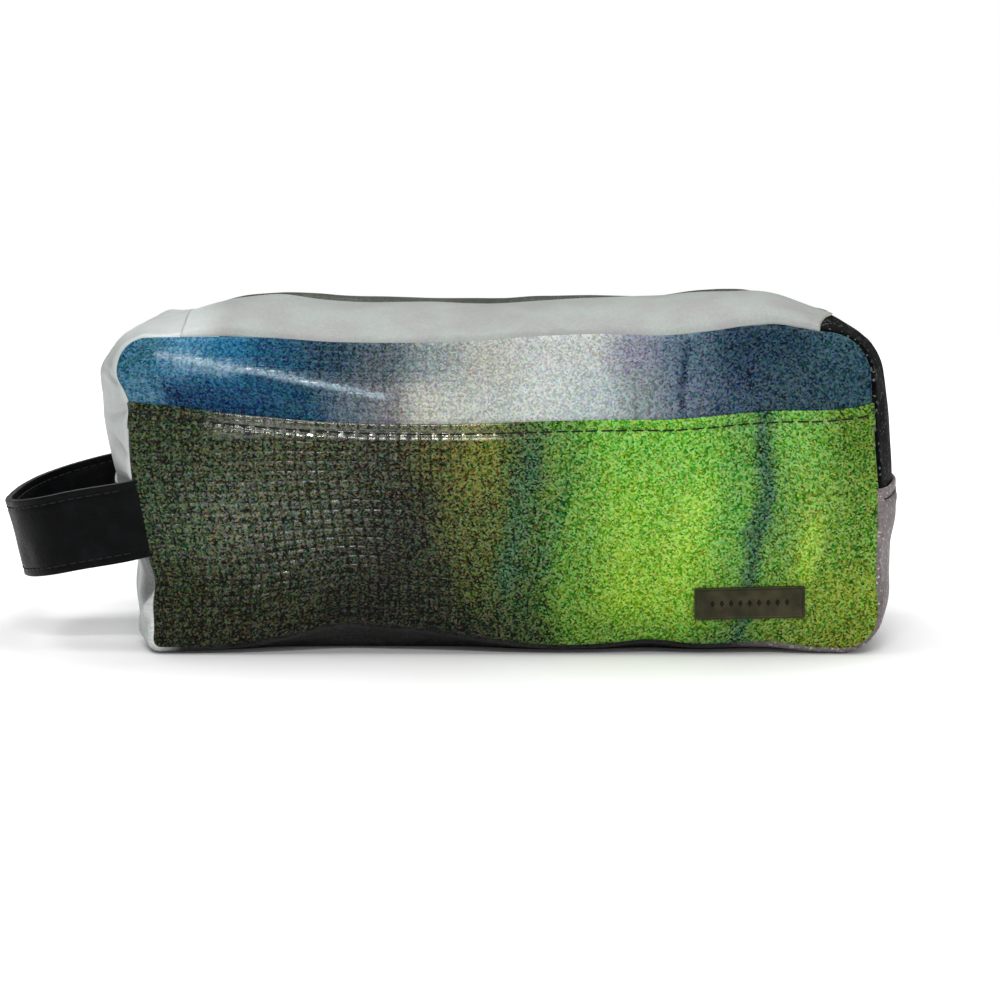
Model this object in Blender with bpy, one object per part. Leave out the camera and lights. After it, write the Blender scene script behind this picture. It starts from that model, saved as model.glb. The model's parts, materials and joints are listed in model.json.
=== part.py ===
"""Zipped toiletry bag sewn from printed vinyl, with a black leather loop on its left end.

Metres, +Z up. The origin is on the floor under the middle of the bag. The front faces -Y and the loop points to -X.
The end panels, the lower gusset and the two zip strips run round the bag between the front and the back: together
they are called the gusset, and a place on it is a distance s along the seam line and a depth y.
"""

import math

import bmesh
import bpy
from mathutils import Matrix, Vector

# driving dimensions
WIDTH = 0.254  # between the end seams
DEPTH = 0.110  # between the front and the back faces at their seams
SEAM_TOP = 0.109  # height of the top seams
VINYL = 0.0009
LINING = 0.0005
TAPE = 0.0005
GAP = 0.0003
THREAD = 0.0005
BINDING = 0.0014  # thickness of the folded tape round a seam's raw edge
BINDING_WIDTH = 0.008
TOP_RADIUS = 0.015  # corners of the front face
BOTTOM_RADIUS = 0.009

# how far each stretch of the gusset swells out beyond its seams
CROWN = 0.009
BOTTOM_SAG = 0.003
LEFT_SWELL = 0.010
RIGHT_SWELL = 0.008
CORNER_SWELL = 0.005
FRONT_SWELL = 0.006
BACK_SWELL = 0.005

# shape of the top across the depth, as fractions of half the depth and of the crown
RIDGE_AT = 0.33  # the strips are highest here
ZIP_DIP = 0.76  # share of the crown lost at the middle line
FLAT_BOTTOM = 0.75  # the bottom is flat inside this

# laps and the zip
FRONT_LAP = 0.0795  # height of the lower front panel's folded edge at the middle
FRONT_LAP_RISE = 0.006  # and how much higher it is at the ends
SIDE_LAP = 0.057
LAP_UNDER = 0.012  # how far the upper piece runs on behind the fold
STITCH_INSET = 0.0034
STITCH_END = 0.002  # how far a row of stitches stops short of the seams
LIP_STITCH_INSET = 0.003
LINING_LIP = 0.002  # how far a strip's lining stops short of its lip
STRIP_END = 0.090  # the strips open between -STRIP_END and STRIP_END
LIP = 0.0065  # from the middle line to the strips' folded edges
TAPE_EDGE = 0.0038
STRIP_STEPS = (0.045, 0.036, 0.027)  # depth steps from the seam to the ridge
RIDGE_STEP = 0.012  # and the first one from the ridge towards the zip
TAPE_ROOT = 0.022
TAPE_STEP = 0.0075
COIL_WIDTH = 0.0026
COIL_HEIGHT = 0.0024
ZIP_RISE = 0.003  # the coil's middle, above the top seams
ZIP_START = -0.087
STOP = 0.0024
STOP_WIDTH = 0.0062
STOP_EASE = 0.0004
SLIDER_AT = 0.078  # the slider's middle when the zip is closed
SLIDER = Vector((0.016, 0.0096, 0.0052))
SLIDER_PLATE = 0.0011
PULLER = Vector((0.026, 0.0076, 0.0010))
PULLER_BAR = 0.0012
PULLER_LIFT = 0.0005
BRIDGE_RISE = 0.0030
BRIDGE_BAR = 0.0009
BRIDGE_FOOT = 0.0055  # half the bridge's length at its feet
BRIDGE_TOP = 0.004  # and at its top
BRIDGE_WIDTH = 0.0022
POST_WIDTH = 0.0024
EYE_LENGTH = 0.0072
EYE_WIDTH = 0.0032
HOLE = Vector((0.0048, 0.0036))
HOLE_INSET = 0.002
TOOL_OVERRUN = 0.002  # how far a cutting tool runs past both faces

# name plate
PLATE = Vector((0.0365, 0.0012, 0.0105))
PLATE_AT = (0.0837, 0.018)
PLATE_CORNER = 0.0008
PLATE_RIM = 0.0009
PLATE_SUNK = 0.0003

# leather loop
LOOP_WIDTH = 0.027
LOOP_REACH = 0.0415  # beyond the end seam
LOOP_STRAIGHT = 0.020  # of that, how far the legs run before they bend round
LOOP_PINCH = 0.97  # the legs close in to this share of their first spacing
LOOP_HEIGHT = 0.0465
LOOP_TILT = math.radians(-14)  # the loop hangs below level
LOOP_LEG_Y = 0.0515
LEATHER = 0.0011
STUB_RADIUS = 0.019  # the sewn-in ends stop on this circle about the loop's hinge line
STUB_CLEAR = 0.0026  # between the sewn-in ends and the end panel's flat edge
LOOP_STITCH_INSET = 0.0027
LOOP_ROWS = 10  # steps up the strap, enough to keep its two hollowed ends round

# derived
HALF = WIDTH / 2
DEEP = DEPTH / 2
LAYER = VINYL + GAP
RIM_BOTTOM = BOTTOM_SAG + LAYER  # the lower gusset laps one layer outside the rim, and rests on the floor
FRONT_IN = DEEP - 2 * LAYER  # the gusset lies between these depths
BACK_IN = DEEP - LAYER
LINING_IN = LAYER
STRIP_LINING_IN = LAYER + TAPE + GAP
BINDING_IN = STRIP_LINING_IN + LINING + GAP
ZIP_Z = SEAM_TOP + ZIP_RISE
HINGE_FRONT_Y = -(DEEP - LAYER - VINYL)
HINGE_BACK_Y = DEEP - VINYL


def clear_scene():
    for obj in list(bpy.data.objects):
        bpy.data.objects.remove(obj, do_unlink=True)


def material(name, colour, roughness, metallic=0.0):
    made = bpy.data.materials.new(name)
    made.use_nodes = True
    shader = made.node_tree.nodes["Principled BSDF"]
    shader.inputs["Base Color"].default_value = (*colour, 1.0)
    shader.inputs["Roughness"].default_value = roughness
    shader.inputs["Metallic"].default_value = metallic
    return made


def smooth(a, b, value):
    """0 below a, 1 above b and a smooth step between them."""
    t = min(1.0, max(0.0, (value - a) / (b - a)))
    return t * t * (3 - 2 * t)


def place(name, bm, finish, parent=None, origin=(0, 0, 0)):
    """Make a named object of a bmesh drawn in world places, with its own origin at `origin`."""
    bmesh.ops.recalc_face_normals(bm, faces=bm.faces)
    mesh = bpy.data.meshes.new(name)
    bmesh.ops.translate(bm, verts=bm.verts, vec=-Vector(origin))
    bm.to_mesh(mesh)
    bm.free()
    mesh.materials.append(finish)
    mesh.shade_smooth()
    mesh.set_sharp_from_angle(angle=math.radians(35))
    obj = bpy.data.objects.new(name, mesh)
    obj.location = origin
    bpy.context.collection.objects.link(obj)
    if parent:
        obj.parent = parent
        obj.location = Vector(origin) - parent.location
    return obj


def joint_empty(name, origin):
    empty = bpy.data.objects.new(name, None)
    empty.location = origin
    bpy.context.collection.objects.link(empty)
    return empty


def slab(outer, inner, ring=False):
    """A closed skin from two grids of points, each a list of rows. A ring's last row joins its first."""
    bm = bmesh.new()
    top = [[bm.verts.new(p) for p in row] for row in outer]
    low = [[bm.verts.new(p) for p in row] for row in inner]
    rows = len(top)
    columns = len(top[0])
    for i in range(rows if ring else rows - 1):
        k = (i + 1) % rows
        for j in range(columns - 1):
            # both skins split along the same diagonal, so that a twisted stretch keeps its thickness
            for skin in (top, low):
                bm.faces.new((skin[i][j], skin[k][j], skin[k][j + 1]))
                bm.faces.new((skin[i][j], skin[k][j + 1], skin[i][j + 1]))
        bm.faces.new((top[i][0], low[i][0], low[k][0], top[k][0]))
        bm.faces.new((top[i][-1], top[k][-1], low[k][-1], low[i][-1]))
    if not ring:
        for j in range(columns - 1):
            bm.faces.new((top[0][j], top[0][j + 1], low[0][j + 1], low[0][j]))
            bm.faces.new((top[-1][j], low[-1][j], low[-1][j + 1], top[-1][j + 1]))
    return bm


def spread(a, b, steps):
    return [a + (b - a) * i / steps for i in range(steps + 1)]


# the seam line: a rectangle with rounded corners in XZ, walked from the middle of the bottom towards +X

FLOOR_RUN = HALF - BOTTOM_RADIUS
LOW_ARC = math.pi / 2 * BOTTOM_RADIUS
SIDE_RUN = SEAM_TOP - RIM_BOTTOM - BOTTOM_RADIUS - TOP_RADIUS
HIGH_ARC = math.pi / 2 * TOP_RADIUS
TOP_RUN = WIDTH - 2 * TOP_RADIUS

S_LOW_RIGHT = FLOOR_RUN + LOW_ARC
S_HIGH_RIGHT = S_LOW_RIGHT + SIDE_RUN
S_TOP = S_HIGH_RIGHT + HIGH_ARC
S_HIGH_LEFT = S_TOP + TOP_RUN
S_SIDE_LEFT = S_HIGH_LEFT + HIGH_ARC
S_LOW_LEFT = S_SIDE_LEFT + SIDE_RUN
S_FLOOR_LEFT = S_LOW_LEFT + LOW_ARC
S_ALL = S_FLOOR_LEFT + FLOOR_RUN
S_TOP_MIDDLE = S_ALL / 2


def rim(s):
    """(corner centre or foot of the edge, direction out, radius) of the seam line at s."""
    mirrored = s > S_TOP_MIDDLE
    t = S_ALL - s if mirrored else s
    if t <= FLOOR_RUN:
        at, out, radius = (t, RIM_BOTTOM), (0, -1), 0
    elif t <= S_LOW_RIGHT:
        turn = (t - FLOOR_RUN) / BOTTOM_RADIUS
        at = (FLOOR_RUN, RIM_BOTTOM + BOTTOM_RADIUS)
        out, radius = (math.sin(turn), -math.cos(turn)), BOTTOM_RADIUS
    elif t <= S_HIGH_RIGHT:
        at = (HALF, RIM_BOTTOM + BOTTOM_RADIUS + t - S_LOW_RIGHT)
        out, radius = (1, 0), 0
    elif t <= S_TOP:
        turn = (t - S_HIGH_RIGHT) / TOP_RADIUS
        at = (HALF - TOP_RADIUS, SEAM_TOP - TOP_RADIUS)
        out, radius = (math.cos(turn), math.sin(turn)), TOP_RADIUS
    else:
        at, out, radius = (HALF - TOP_RADIUS - (t - S_TOP), SEAM_TOP), (0, 1), 0
    sign = -1 if mirrored else 1
    return (sign * at[0], at[1]), (sign * out[0], out[1]), radius


def s_on_right(z):
    return S_LOW_RIGHT + z - RIM_BOTTOM - BOTTOM_RADIUS


def s_on_left(z):
    return S_ALL - s_on_right(z)


def s_on_top(x):
    return S_TOP_MIDDLE - x


def stations(start, end):
    """Places between two ends of the right half, the same for every layer so that the layers stay parallel."""
    inner = spread(0, FLOOR_RUN, 2) + spread(FLOOR_RUN, S_LOW_RIGHT, 3) + spread(S_LOW_RIGHT, S_HIGH_RIGHT, 6)
    inner += spread(S_HIGH_RIGHT, S_TOP, 4) + spread(S_TOP, s_on_top(STRIP_END), 4)
    return [start] + sorted({s for s in inner if start < s < end}) + [end]


def both_ways(half):
    """A run of places from the middle of the bottom, with its mirror image before it."""
    return [S_ALL - s for s in reversed(half[1:])] + half


def swell_size(s):
    """The gusset's largest swelling at s, blended from stretch to stretch."""
    left = s > S_TOP_MIDDLE
    t = S_ALL - s if left else s
    side = LEFT_SWELL if left else RIGHT_SWELL
    size = BOTTOM_SAG + (side - BOTTOM_SAG) * smooth(FLOOR_RUN, S_LOW_RIGHT + SIDE_RUN * 0.35, t)
    size += (CORNER_SWELL - side) * smooth(S_LOW_RIGHT + SIDE_RUN * 0.6, S_HIGH_RIGHT + HIGH_ARC / 2, t)
    return size + (CROWN - CORNER_SWELL) * smooth(S_HIGH_RIGHT + HIGH_ARC / 2, s_on_top(STRIP_END), t)


def swell(s, y):
    """How far the gusset stands out from the seam line at s and depth y."""
    t = min(s, S_ALL - s)
    w = min(1.0, abs(y) / DEEP)
    side = 1 - w * w
    if w > RIDGE_AT:
        top = 1 - ((w - RIDGE_AT) / (1 - RIDGE_AT)) ** 2
    else:
        top = 1 - ZIP_DIP * ((RIDGE_AT - w) / RIDGE_AT) ** 2
    flat = min(1.0, side / (1 - FLAT_BOTTOM**2))
    top_share = smooth(S_HIGH_RIGHT + HIGH_ARC / 2, s_on_top(STRIP_END), t)
    flat_share = 1 - smooth(FLOOR_RUN, S_LOW_RIGHT, t)
    shape = side + top_share * (top - side) + flat_share * (flat - side)
    return swell_size(s) * shape


def gusset_point(s, y, inset):
    """A point `inset` inside the gusset's outer surface."""
    at, out, radius = rim(s)
    reach = radius - inset + swell(s, y)
    return Vector((at[0] + out[0] * reach, y, at[1] + out[1] * reach))


def gusset_slab(s_list, y_list, inset, thickness, ring=False):
    outer = [[gusset_point(s, y, inset) for y in y_list] for s in s_list]
    inner = [[gusset_point(s, y, inset + thickness) for y in y_list] for s in s_list]
    return slab(outer, inner, ring)


def depths(front, back):
    """Depth steps between two ends, with the edges of the bottom's flat stretch among them."""
    middle = [w * DEEP for w in (-FLAT_BOTTOM, -0.4, 0.0, 0.4, FLAT_BOTTOM)]
    return [front, *middle, back]


# the front and back faces

def edge_top(x, inset):
    radius = TOP_RADIUS - inset
    over = max(0.0, abs(x) - (HALF - TOP_RADIUS))
    return SEAM_TOP - TOP_RADIUS + math.sqrt(max(0.0, radius**2 - over**2))


def edge_bottom(x, inset):
    radius = BOTTOM_RADIUS - inset
    over = max(0.0, abs(x) - (HALF - BOTTOM_RADIUS))
    return RIM_BOTTOM + BOTTOM_RADIUS - math.sqrt(max(0.0, radius**2 - over**2))


def face_columns(inset):
    """x places across a face, closer together round the corners."""
    turns = [HALF - TOP_RADIUS + (TOP_RADIUS - inset) * math.sin(math.radians(a)) for a in (28, 55, 90)]
    low = HALF - BOTTOM_RADIUS
    middle = spread(0, HALF - TOP_RADIUS, 6)
    right = sorted({*middle, low, *turns})
    return [-x for x in reversed(right[1:])] + right


def face_swell(x, z):
    u = x / HALF
    v = (z - (SEAM_TOP + RIM_BOTTOM) / 2) / ((SEAM_TOP - RIM_BOTTOM) / 2)
    return max(0.0, 1 - u**4) * max(0.0, 1 - v * v)


def front_point(x, z, inset):
    return Vector((x, -DEEP + inset - FRONT_SWELL * face_swell(x, z), z))


def back_point(x, z, inset):
    return Vector((x, DEEP - inset + BACK_SWELL * face_swell(x, z), z))


def face_slab(point, low, high, edge_inset, depth, thickness, steps=8):
    """A panel on the front or the back, `depth` under the outer face, from height low(x) to high(x)."""
    columns = face_columns(edge_inset)
    grid = [[(x, z) for z in spread(low(x), high(x), steps)] for x in columns]
    outer = [[point(x, z, depth) for x, z in row] for row in grid]
    inner = [[point(x, z, depth + thickness) for x, z in row] for row in grid]
    return slab(outer, inner)


def front_lap(x):
    return FRONT_LAP + FRONT_LAP_RISE * (x / HALF) ** 4


def make_front_panels(upper_print, lower_print):
    upper = face_slab(
        front_point, lambda x: front_lap(x) - LAP_UNDER, lambda x: edge_top(x, 0), 0, LAYER, VINYL, 4
    )
    place("front_upper_panel", upper, upper_print)
    lower = face_slab(front_point, lambda x: edge_bottom(x, -LAYER), front_lap, -LAYER, 0, VINYL)
    place("front_lower_panel", lower, lower_print)


def make_back_panel(finish):
    back = face_slab(back_point, lambda x: edge_bottom(x, -LAYER), lambda x: edge_top(x, 0), 0, 0, VINYL)
    place("back_panel", back, finish)


def make_gusset(left_print, right_print, lower_print):
    across = depths(-FRONT_IN, BACK_IN)
    right = stations(s_on_right(SIDE_LAP - LAP_UNDER), s_on_top(STRIP_END))
    place("right_end_panel", gusset_slab(right, across, 0, VINYL), right_print)
    left = [S_ALL - s for s in reversed(right)]
    place("left_end_panel", gusset_slab(left, across, 0, VINYL), left_print)
    around = both_ways(stations(0, s_on_right(SIDE_LAP)))
    place("lower_gusset", gusset_slab(around, across, -LAYER, VINYL), lower_print)


def make_linings(finish):
    depth = 2 * LAYER
    low, high = lambda x: edge_bottom(x, BINDING_IN), lambda x: edge_top(x, BINDING_IN)
    place("front_lining", face_slab(front_point, low, high, BINDING_IN, depth, LINING), finish)
    place("back_lining", face_slab(back_point, low, high, BINDING_IN, LAYER, LINING), finish)
    around = both_ways(stations(0, s_on_top(STRIP_END)))
    across = depths(-FRONT_IN, BACK_IN)
    place("gusset_lining", gusset_slab(around, across, LINING_IN, LINING), finish)


def make_seam_bindings(finish):
    """A folded tape round each seam's raw edge, inside the bag."""
    around = stations(0, S_TOP_MIDDLE)
    around += [S_ALL - s for s in reversed(around[1:-1])]
    for name, start, way in (
        ("front_seam_binding", -DEEP + 2 * LAYER + LINING + GAP, 1),
        ("back_seam_binding", DEEP - LAYER - LINING - GAP, -1),
    ):
        across = [start, start + way * BINDING_WIDTH / 2, start + way * BINDING_WIDTH]
        place(name, gusset_slab(around, across, BINDING_IN, BINDING, ring=True), finish)


def thread_on_face(line, columns):
    """One thread laid along a line of heights on the front face, clear of the vinyl."""
    edges = (-THREAD / 2, THREAD / 2)
    outer = [[front_point(x, line(x) + d, -GAP - THREAD) for d in edges] for x in columns]
    inner = [[front_point(x, line(x) + d, -GAP) for d in edges] for x in columns]
    return slab(outer, inner)


def make_topstitching(finish):
    columns = face_columns(STITCH_END)
    line = thread_on_face(lambda x: front_lap(x) - STITCH_INSET, columns)
    place("front_topstitching", line, finish)
    across = depths(-FRONT_IN + STITCH_END, BACK_IN - STITCH_END)
    for name, s_at in (("right_end_topstitching", s_on_right), ("left_end_topstitching", s_on_left)):
        middle = s_at(SIDE_LAP - STITCH_INSET)
        both = [middle - THREAD / 2, middle + THREAD / 2]
        place(name, gusset_slab(both, across, -LAYER - GAP - THREAD, THREAD), finish)


def make_name_plate(metal, backing):
    """A stamped plate with a raised border, and the washer plate that its prongs fold over inside the vinyl."""
    x, z = PLATE_AT
    along = front_point(x + PLATE.x / 4, z, 0) - front_point(x - PLATE.x / 4, z, 0)
    up = front_point(x, z + PLATE.z / 4, 0) - front_point(x, z - PLATE.z / 4, 0)
    out = along.cross(up).normalized()
    along.normalize()
    turn = Matrix((along, -out, out.cross(along))).transposed().to_4x4()
    centre = front_point(x, z, 0) + out * (GAP + PLATE.y / 2)
    bm = bmesh.new()
    bmesh.ops.create_cube(bm, size=1.0)
    bmesh.ops.scale(bm, vec=PLATE, verts=bm.verts)
    upright = [e for e in bm.edges if abs(e.verts[0].co.y - e.verts[1].co.y) > PLATE.y / 2]
    bmesh.ops.bevel(bm, geom=upright, offset=PLATE_CORNER, segments=3, affect="EDGES")
    face = min(bm.faces, key=lambda f: f.calc_center_median().y)
    bmesh.ops.inset_region(bm, faces=[face], thickness=PLATE_RIM, depth=0)
    bmesh.ops.inset_region(bm, faces=[face], thickness=PLATE_SUNK, depth=-PLATE_SUNK)
    bm.transform(Matrix.Translation(centre) @ turn)
    place("name_plate", bm, metal, origin=centre)
    columns = spread(x - PLATE.x / 2, x + PLATE.x / 2, 4)
    heights = spread(z - PLATE.z / 2, z + PLATE.z / 2, 2)
    outer = [[front_point(a, b, LAYER + GAP) for b in heights] for a in columns]
    inner = [[front_point(a, b, LAYER + 2 * GAP) for b in heights] for a in columns]
    place("name_plate_backing", slab(outer, inner), backing)


def mirrored_depths(side, values):
    return sorted(side * v for v in values)


def make_strip(side, name, vinyl, lining, tape, coil, thread):
    """One half of the opening: its vinyl strip, lining, zip tape, coil and topstitching. side is -1 for the front."""
    root = FRONT_IN if side < 0 else BACK_IN
    hinge = (0, HINGE_FRONT_Y if side < 0 else HINGE_BACK_Y, SEAM_TOP)
    parent = joint_empty(f"{name}_hinge", hinge)
    ends = [s_on_top(STRIP_END - GAP), s_on_top(GAP - STRIP_END)]
    ridge = RIDGE_AT * DEEP
    across = mirrored_depths(side, [root, *STRIP_STEPS, ridge, RIDGE_STEP, LIP])
    place(f"{name}_strip", gusset_slab(ends, across, 0, VINYL), vinyl, parent, hinge)
    across = mirrored_depths(side, [TAPE_ROOT, ridge, RIDGE_STEP, TAPE_STEP, TAPE_EDGE])
    place(f"zip_tape_{name[4:]}", gusset_slab(ends, across, LAYER, TAPE), tape, parent, hinge)
    across = mirrored_depths(side, [root, *STRIP_STEPS, ridge, RIDGE_STEP, LIP + LINING_LIP])
    place(f"{name}_lining", gusset_slab(ends, across, STRIP_LINING_IN, LINING), lining, parent, hinge)
    middle = LIP + LIP_STITCH_INSET
    across = mirrored_depths(side, [middle - THREAD / 2, middle + THREAD / 2])
    place(f"{name}_topstitching", gusset_slab(ends, across, -GAP - THREAD, THREAD), thread, parent, hinge)
    bm = bmesh.new()
    bmesh.ops.create_cube(bm, size=1.0)
    end = SLIDER_AT + SLIDER.x * 0.1
    bmesh.ops.scale(bm, vec=(end - ZIP_START, COIL_WIDTH, COIL_HEIGHT), verts=bm.verts)
    offset = side * (COIL_WIDTH / 2 + GAP / 2)
    bmesh.ops.translate(bm, vec=((end + ZIP_START) / 2, offset, ZIP_Z), verts=bm.verts)
    place(f"zip_coil_{name[4:]}", bm, coil, parent, hinge)


def add_box(bm, low, high):
    made = bmesh.ops.create_cube(bm, size=1.0)["verts"]
    low, high = Vector(low), Vector(high)
    bmesh.ops.scale(bm, vec=high - low, verts=made)
    bmesh.ops.translate(bm, vec=(low + high) / 2, verts=made)
    return made


def outline_prism(points, low, high, axis):
    """A prism between two places on an axis ("y" or "z") with a flat outline given in the other two axes."""
    bm = bmesh.new()

    def at(p, level):
        return (p[0], level, p[1]) if axis == "y" else (p[0], p[1], level)

    start = [bm.verts.new(at(p, low)) for p in points]
    end = [bm.verts.new(at(p, high)) for p in points]
    bm.faces.new(start)
    bm.faces.new(reversed(end))
    for i in range(len(points)):
        k = (i + 1) % len(points)
        bm.faces.new((start[i], end[i], end[k], start[k]))
    return bm


def make_slider(metal):
    """Two plates joined by a post between the parting coils, with a bridge on top that holds the puller."""
    half = SLIDER.z / 2
    length, width = SLIDER.x / 2, SLIDER.y / 2
    shape = [(-length, -width * 0.72), (0, -width), (length, -width * 0.9)]
    shape += [(x, -y) for x, y in reversed(shape)]
    parts = [
        outline_prism(shape, half - SLIDER_PLATE, half, "z"),
        outline_prism(shape, -half, -half + SLIDER_PLATE, "z"),
    ]
    post = bmesh.new()
    reach = half - SLIDER_PLATE / 2
    add_box(post, (length * 0.45, -POST_WIDTH / 2, -reach), (length * 0.9, POST_WIDTH / 2, reach))
    parts.append(post)
    rise = half + BRIDGE_RISE
    under = rise - BRIDGE_BAR
    inner_foot, inner_top = BRIDGE_FOOT - 0.0011, BRIDGE_TOP - 0.0007
    bridge = [(-BRIDGE_FOOT, reach), (-BRIDGE_TOP, rise), (BRIDGE_TOP, rise), (BRIDGE_FOOT, reach)]
    bridge += [(inner_foot, reach), (inner_top, under), (-inner_top, under), (-inner_foot, reach)]
    parts.append(outline_prism(bridge, -BRIDGE_WIDTH / 2, BRIDGE_WIDTH / 2, "y"))
    origin = (SLIDER_AT, 0, ZIP_Z)
    for bm in parts:
        bmesh.ops.translate(bm, vec=origin, verts=bm.verts)
    slider = place("zip_slider", parts[0], metal, origin=origin)
    for bm in parts[1:]:
        join_to(slider, bm, metal)
    return slider


def join_to(target, bm, finish):
    """Unite a closed bmesh with an object, and leave no tool behind."""
    tool = place("tool", bm, finish)
    union = target.modifiers.new("union", "BOOLEAN")
    union.operation = "UNION"
    union.solver = "EXACT"
    union.object = tool
    tool.hide_render = True
    tool.display_type = "WIRE"
    apply_modifiers(target)
    bpy.data.objects.remove(tool, do_unlink=True)


def apply_modifiers(obj):
    shape = bpy.data.meshes.new_from_object(obj.evaluated_get(bpy.context.evaluated_depsgraph_get()))
    old = obj.data
    obj.modifiers.clear()
    obj.data = shape
    bpy.data.meshes.remove(old)


def make_puller(metal):
    """A flat tongue that lies towards -X from the slider's bridge, with an eye round the bridge and a hole at its tip."""
    rest = ZIP_Z + SLIDER.z / 2 + PULLER_LIFT
    hinge = Vector((SLIDER_AT + 0.0010, 0, rest + PULLER.z / 2))
    parent = joint_empty("puller_hinge", hinge)
    eye_end = hinge.x + PULLER_BAR / 2
    width = PULLER.y / 2
    tip = eye_end - PULLER.x
    turn = spread(math.pi / 2, 3 * math.pi / 2, 8)
    outline = [(tip + width + width * math.cos(a), width * math.sin(a)) for a in turn]
    outline += [(eye_end, -width * 0.8), (eye_end, width * 0.8)]
    bm = outline_prism(outline, rest, rest + PULLER.z, "z")
    puller = place("zip_puller", bm, metal, parent, hinge)
    eye = bmesh.new()
    low, high = rest - TOOL_OVERRUN, rest + PULLER.z + TOOL_OVERRUN
    eye_start = eye_end - PULLER_BAR
    add_box(eye, (eye_start - EYE_LENGTH, -EYE_WIDTH / 2, low), (eye_start, EYE_WIDTH / 2, high))
    cut(puller, eye, metal)
    hole = bmesh.new()
    hole_start = tip + HOLE_INSET
    add_box(hole, (hole_start, -HOLE.y / 2, low), (hole_start + HOLE.x, HOLE.y / 2, high))
    cut(puller, hole, metal)
    return puller


def cut(target, bm, finish):
    tool = place("tool", bm, finish)
    difference = target.modifiers.new("cut", "BOOLEAN")
    difference.operation = "DIFFERENCE"
    difference.solver = "EXACT"
    difference.object = tool
    tool.hide_render = True
    tool.display_type = "WIRE"
    bpy.context.view_layer.update()
    apply_modifiers(target)
    bpy.data.objects.remove(tool, do_unlink=True)


def make_zip_stops(metal):
    """The crimped stops at the two ends of the zip, which stay with the end panels."""
    for name, start in (("zip_bottom_stop", ZIP_START - GAP - STOP), ("zip_top_stop", STRIP_END - GAP - STOP)):
        bm = bmesh.new()
        low, high = ZIP_Z - COIL_HEIGHT / 2, ZIP_Z + COIL_HEIGHT / 2
        add_box(bm, (start, -STOP_WIDTH / 2, low), (start + STOP, STOP_WIDTH / 2, high))
        bmesh.ops.bevel(bm, geom=list(bm.edges), offset=STOP_EASE, segments=1, affect="EDGES")
        place(name, bm, metal)


# the leather loop: a strap on edge that leaves the front end seam, turns back round its tip and returns to the back

def loop_path(offset, start):
    """Points in XY down the loop from front to back, `offset` inside its outer face, from `start` outside the seam."""
    leg = LOOP_LEG_Y - offset
    reach = LOOP_REACH - offset
    turns = spread(0, math.pi / 2, 7)[1:-1]
    pinched = leg * LOOP_PINCH
    bend = reach - LOOP_STRAIGHT
    knee = -HALF - LOOP_STRAIGHT
    curve = [(knee - bend * math.sin(a) ** 0.9, -pinched * math.cos(a) ** 0.75) for a in turns]
    front = [(-HALF - start, -leg), (knee, -pinched), *curve]
    return front + [(-HALF - reach, 0.0)] + [(x, -y) for x, y in reversed(front)]


def loop_strap(offset, thickness, half_width, middle, rows):
    """A strap on edge. Its ends are hollowed to a circle about the hinge line."""
    heights = spread(middle - half_width, middle + half_width, rows)

    def column(z, depth):
        start = math.sqrt((STUB_RADIUS + GAP) ** 2 - (z - LOOP_HEIGHT) ** 2)
        return [Vector((x, y, z)) for x, y in loop_path(depth, start)]

    outer = [list(p) for p in zip(*[column(z, offset) for z in heights])]
    inner = [list(p) for p in zip(*[column(z, offset + thickness) for z in heights])]
    return tilted(slab(outer, inner))


def tilted(bm):
    """Turn the level loop down about its hinge line."""
    hinge = Matrix.Translation((-HALF, 0, LOOP_HEIGHT))
    bm.transform(hinge @ Matrix.Rotation(LOOP_TILT, 4, "Y") @ hinge.inverted())
    return bm


def make_loop(leather, thread):
    hinge = (-HALF, 0, LOOP_HEIGHT)
    parent = joint_empty("loop_hinge", hinge)
    half = LOOP_WIDTH / 2
    outer_ply = loop_strap(0, LEATHER, half, LOOP_HEIGHT, LOOP_ROWS)
    place("handle_outer_strap", outer_ply, leather, parent, hinge)
    inner_ply = loop_strap(LEATHER + GAP, LEATHER, half, LOOP_HEIGHT, LOOP_ROWS)
    place("handle_inner_strap", inner_ply, leather, parent, hinge)
    for name, way in (("handle_upper_stitching", 1), ("handle_lower_stitching", -1)):
        middle = LOOP_HEIGHT + way * (half - LOOP_STITCH_INSET)
        row = loop_strap(-GAP - THREAD, THREAD, THREAD / 2, middle, 1)
        place(name, row, thread, parent, hinge)


def make_loop_ends(leather):
    """The strap's two sewn-in ends, which stay with the seams."""
    heights = spread(LOOP_HEIGHT - LOOP_WIDTH / 2, LOOP_HEIGHT + LOOP_WIDTH / 2, LOOP_ROWS)
    thick = 2 * LEATHER + GAP
    for name, side in (("handle_front_end", -1), ("handle_back_end", 1)):
        grids = []
        for y in (LOOP_LEG_Y, LOOP_LEG_Y - thick):
            rows = []
            for z in heights:
                end = math.sqrt(STUB_RADIUS**2 - (z - LOOP_HEIGHT) ** 2)
                clear = STUB_CLEAR + LEFT_SWELL * (1 - (y / DEEP) ** 2)
                start = (clear + (z - LOOP_HEIGHT) * math.sin(LOOP_TILT)) / math.cos(LOOP_TILT)
                rows.append([Vector((-HALF - d, side * y, z)) for d in (start, end)])
            grids.append(rows)
        place(name, tilted(slab(*grids)), leather)


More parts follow.
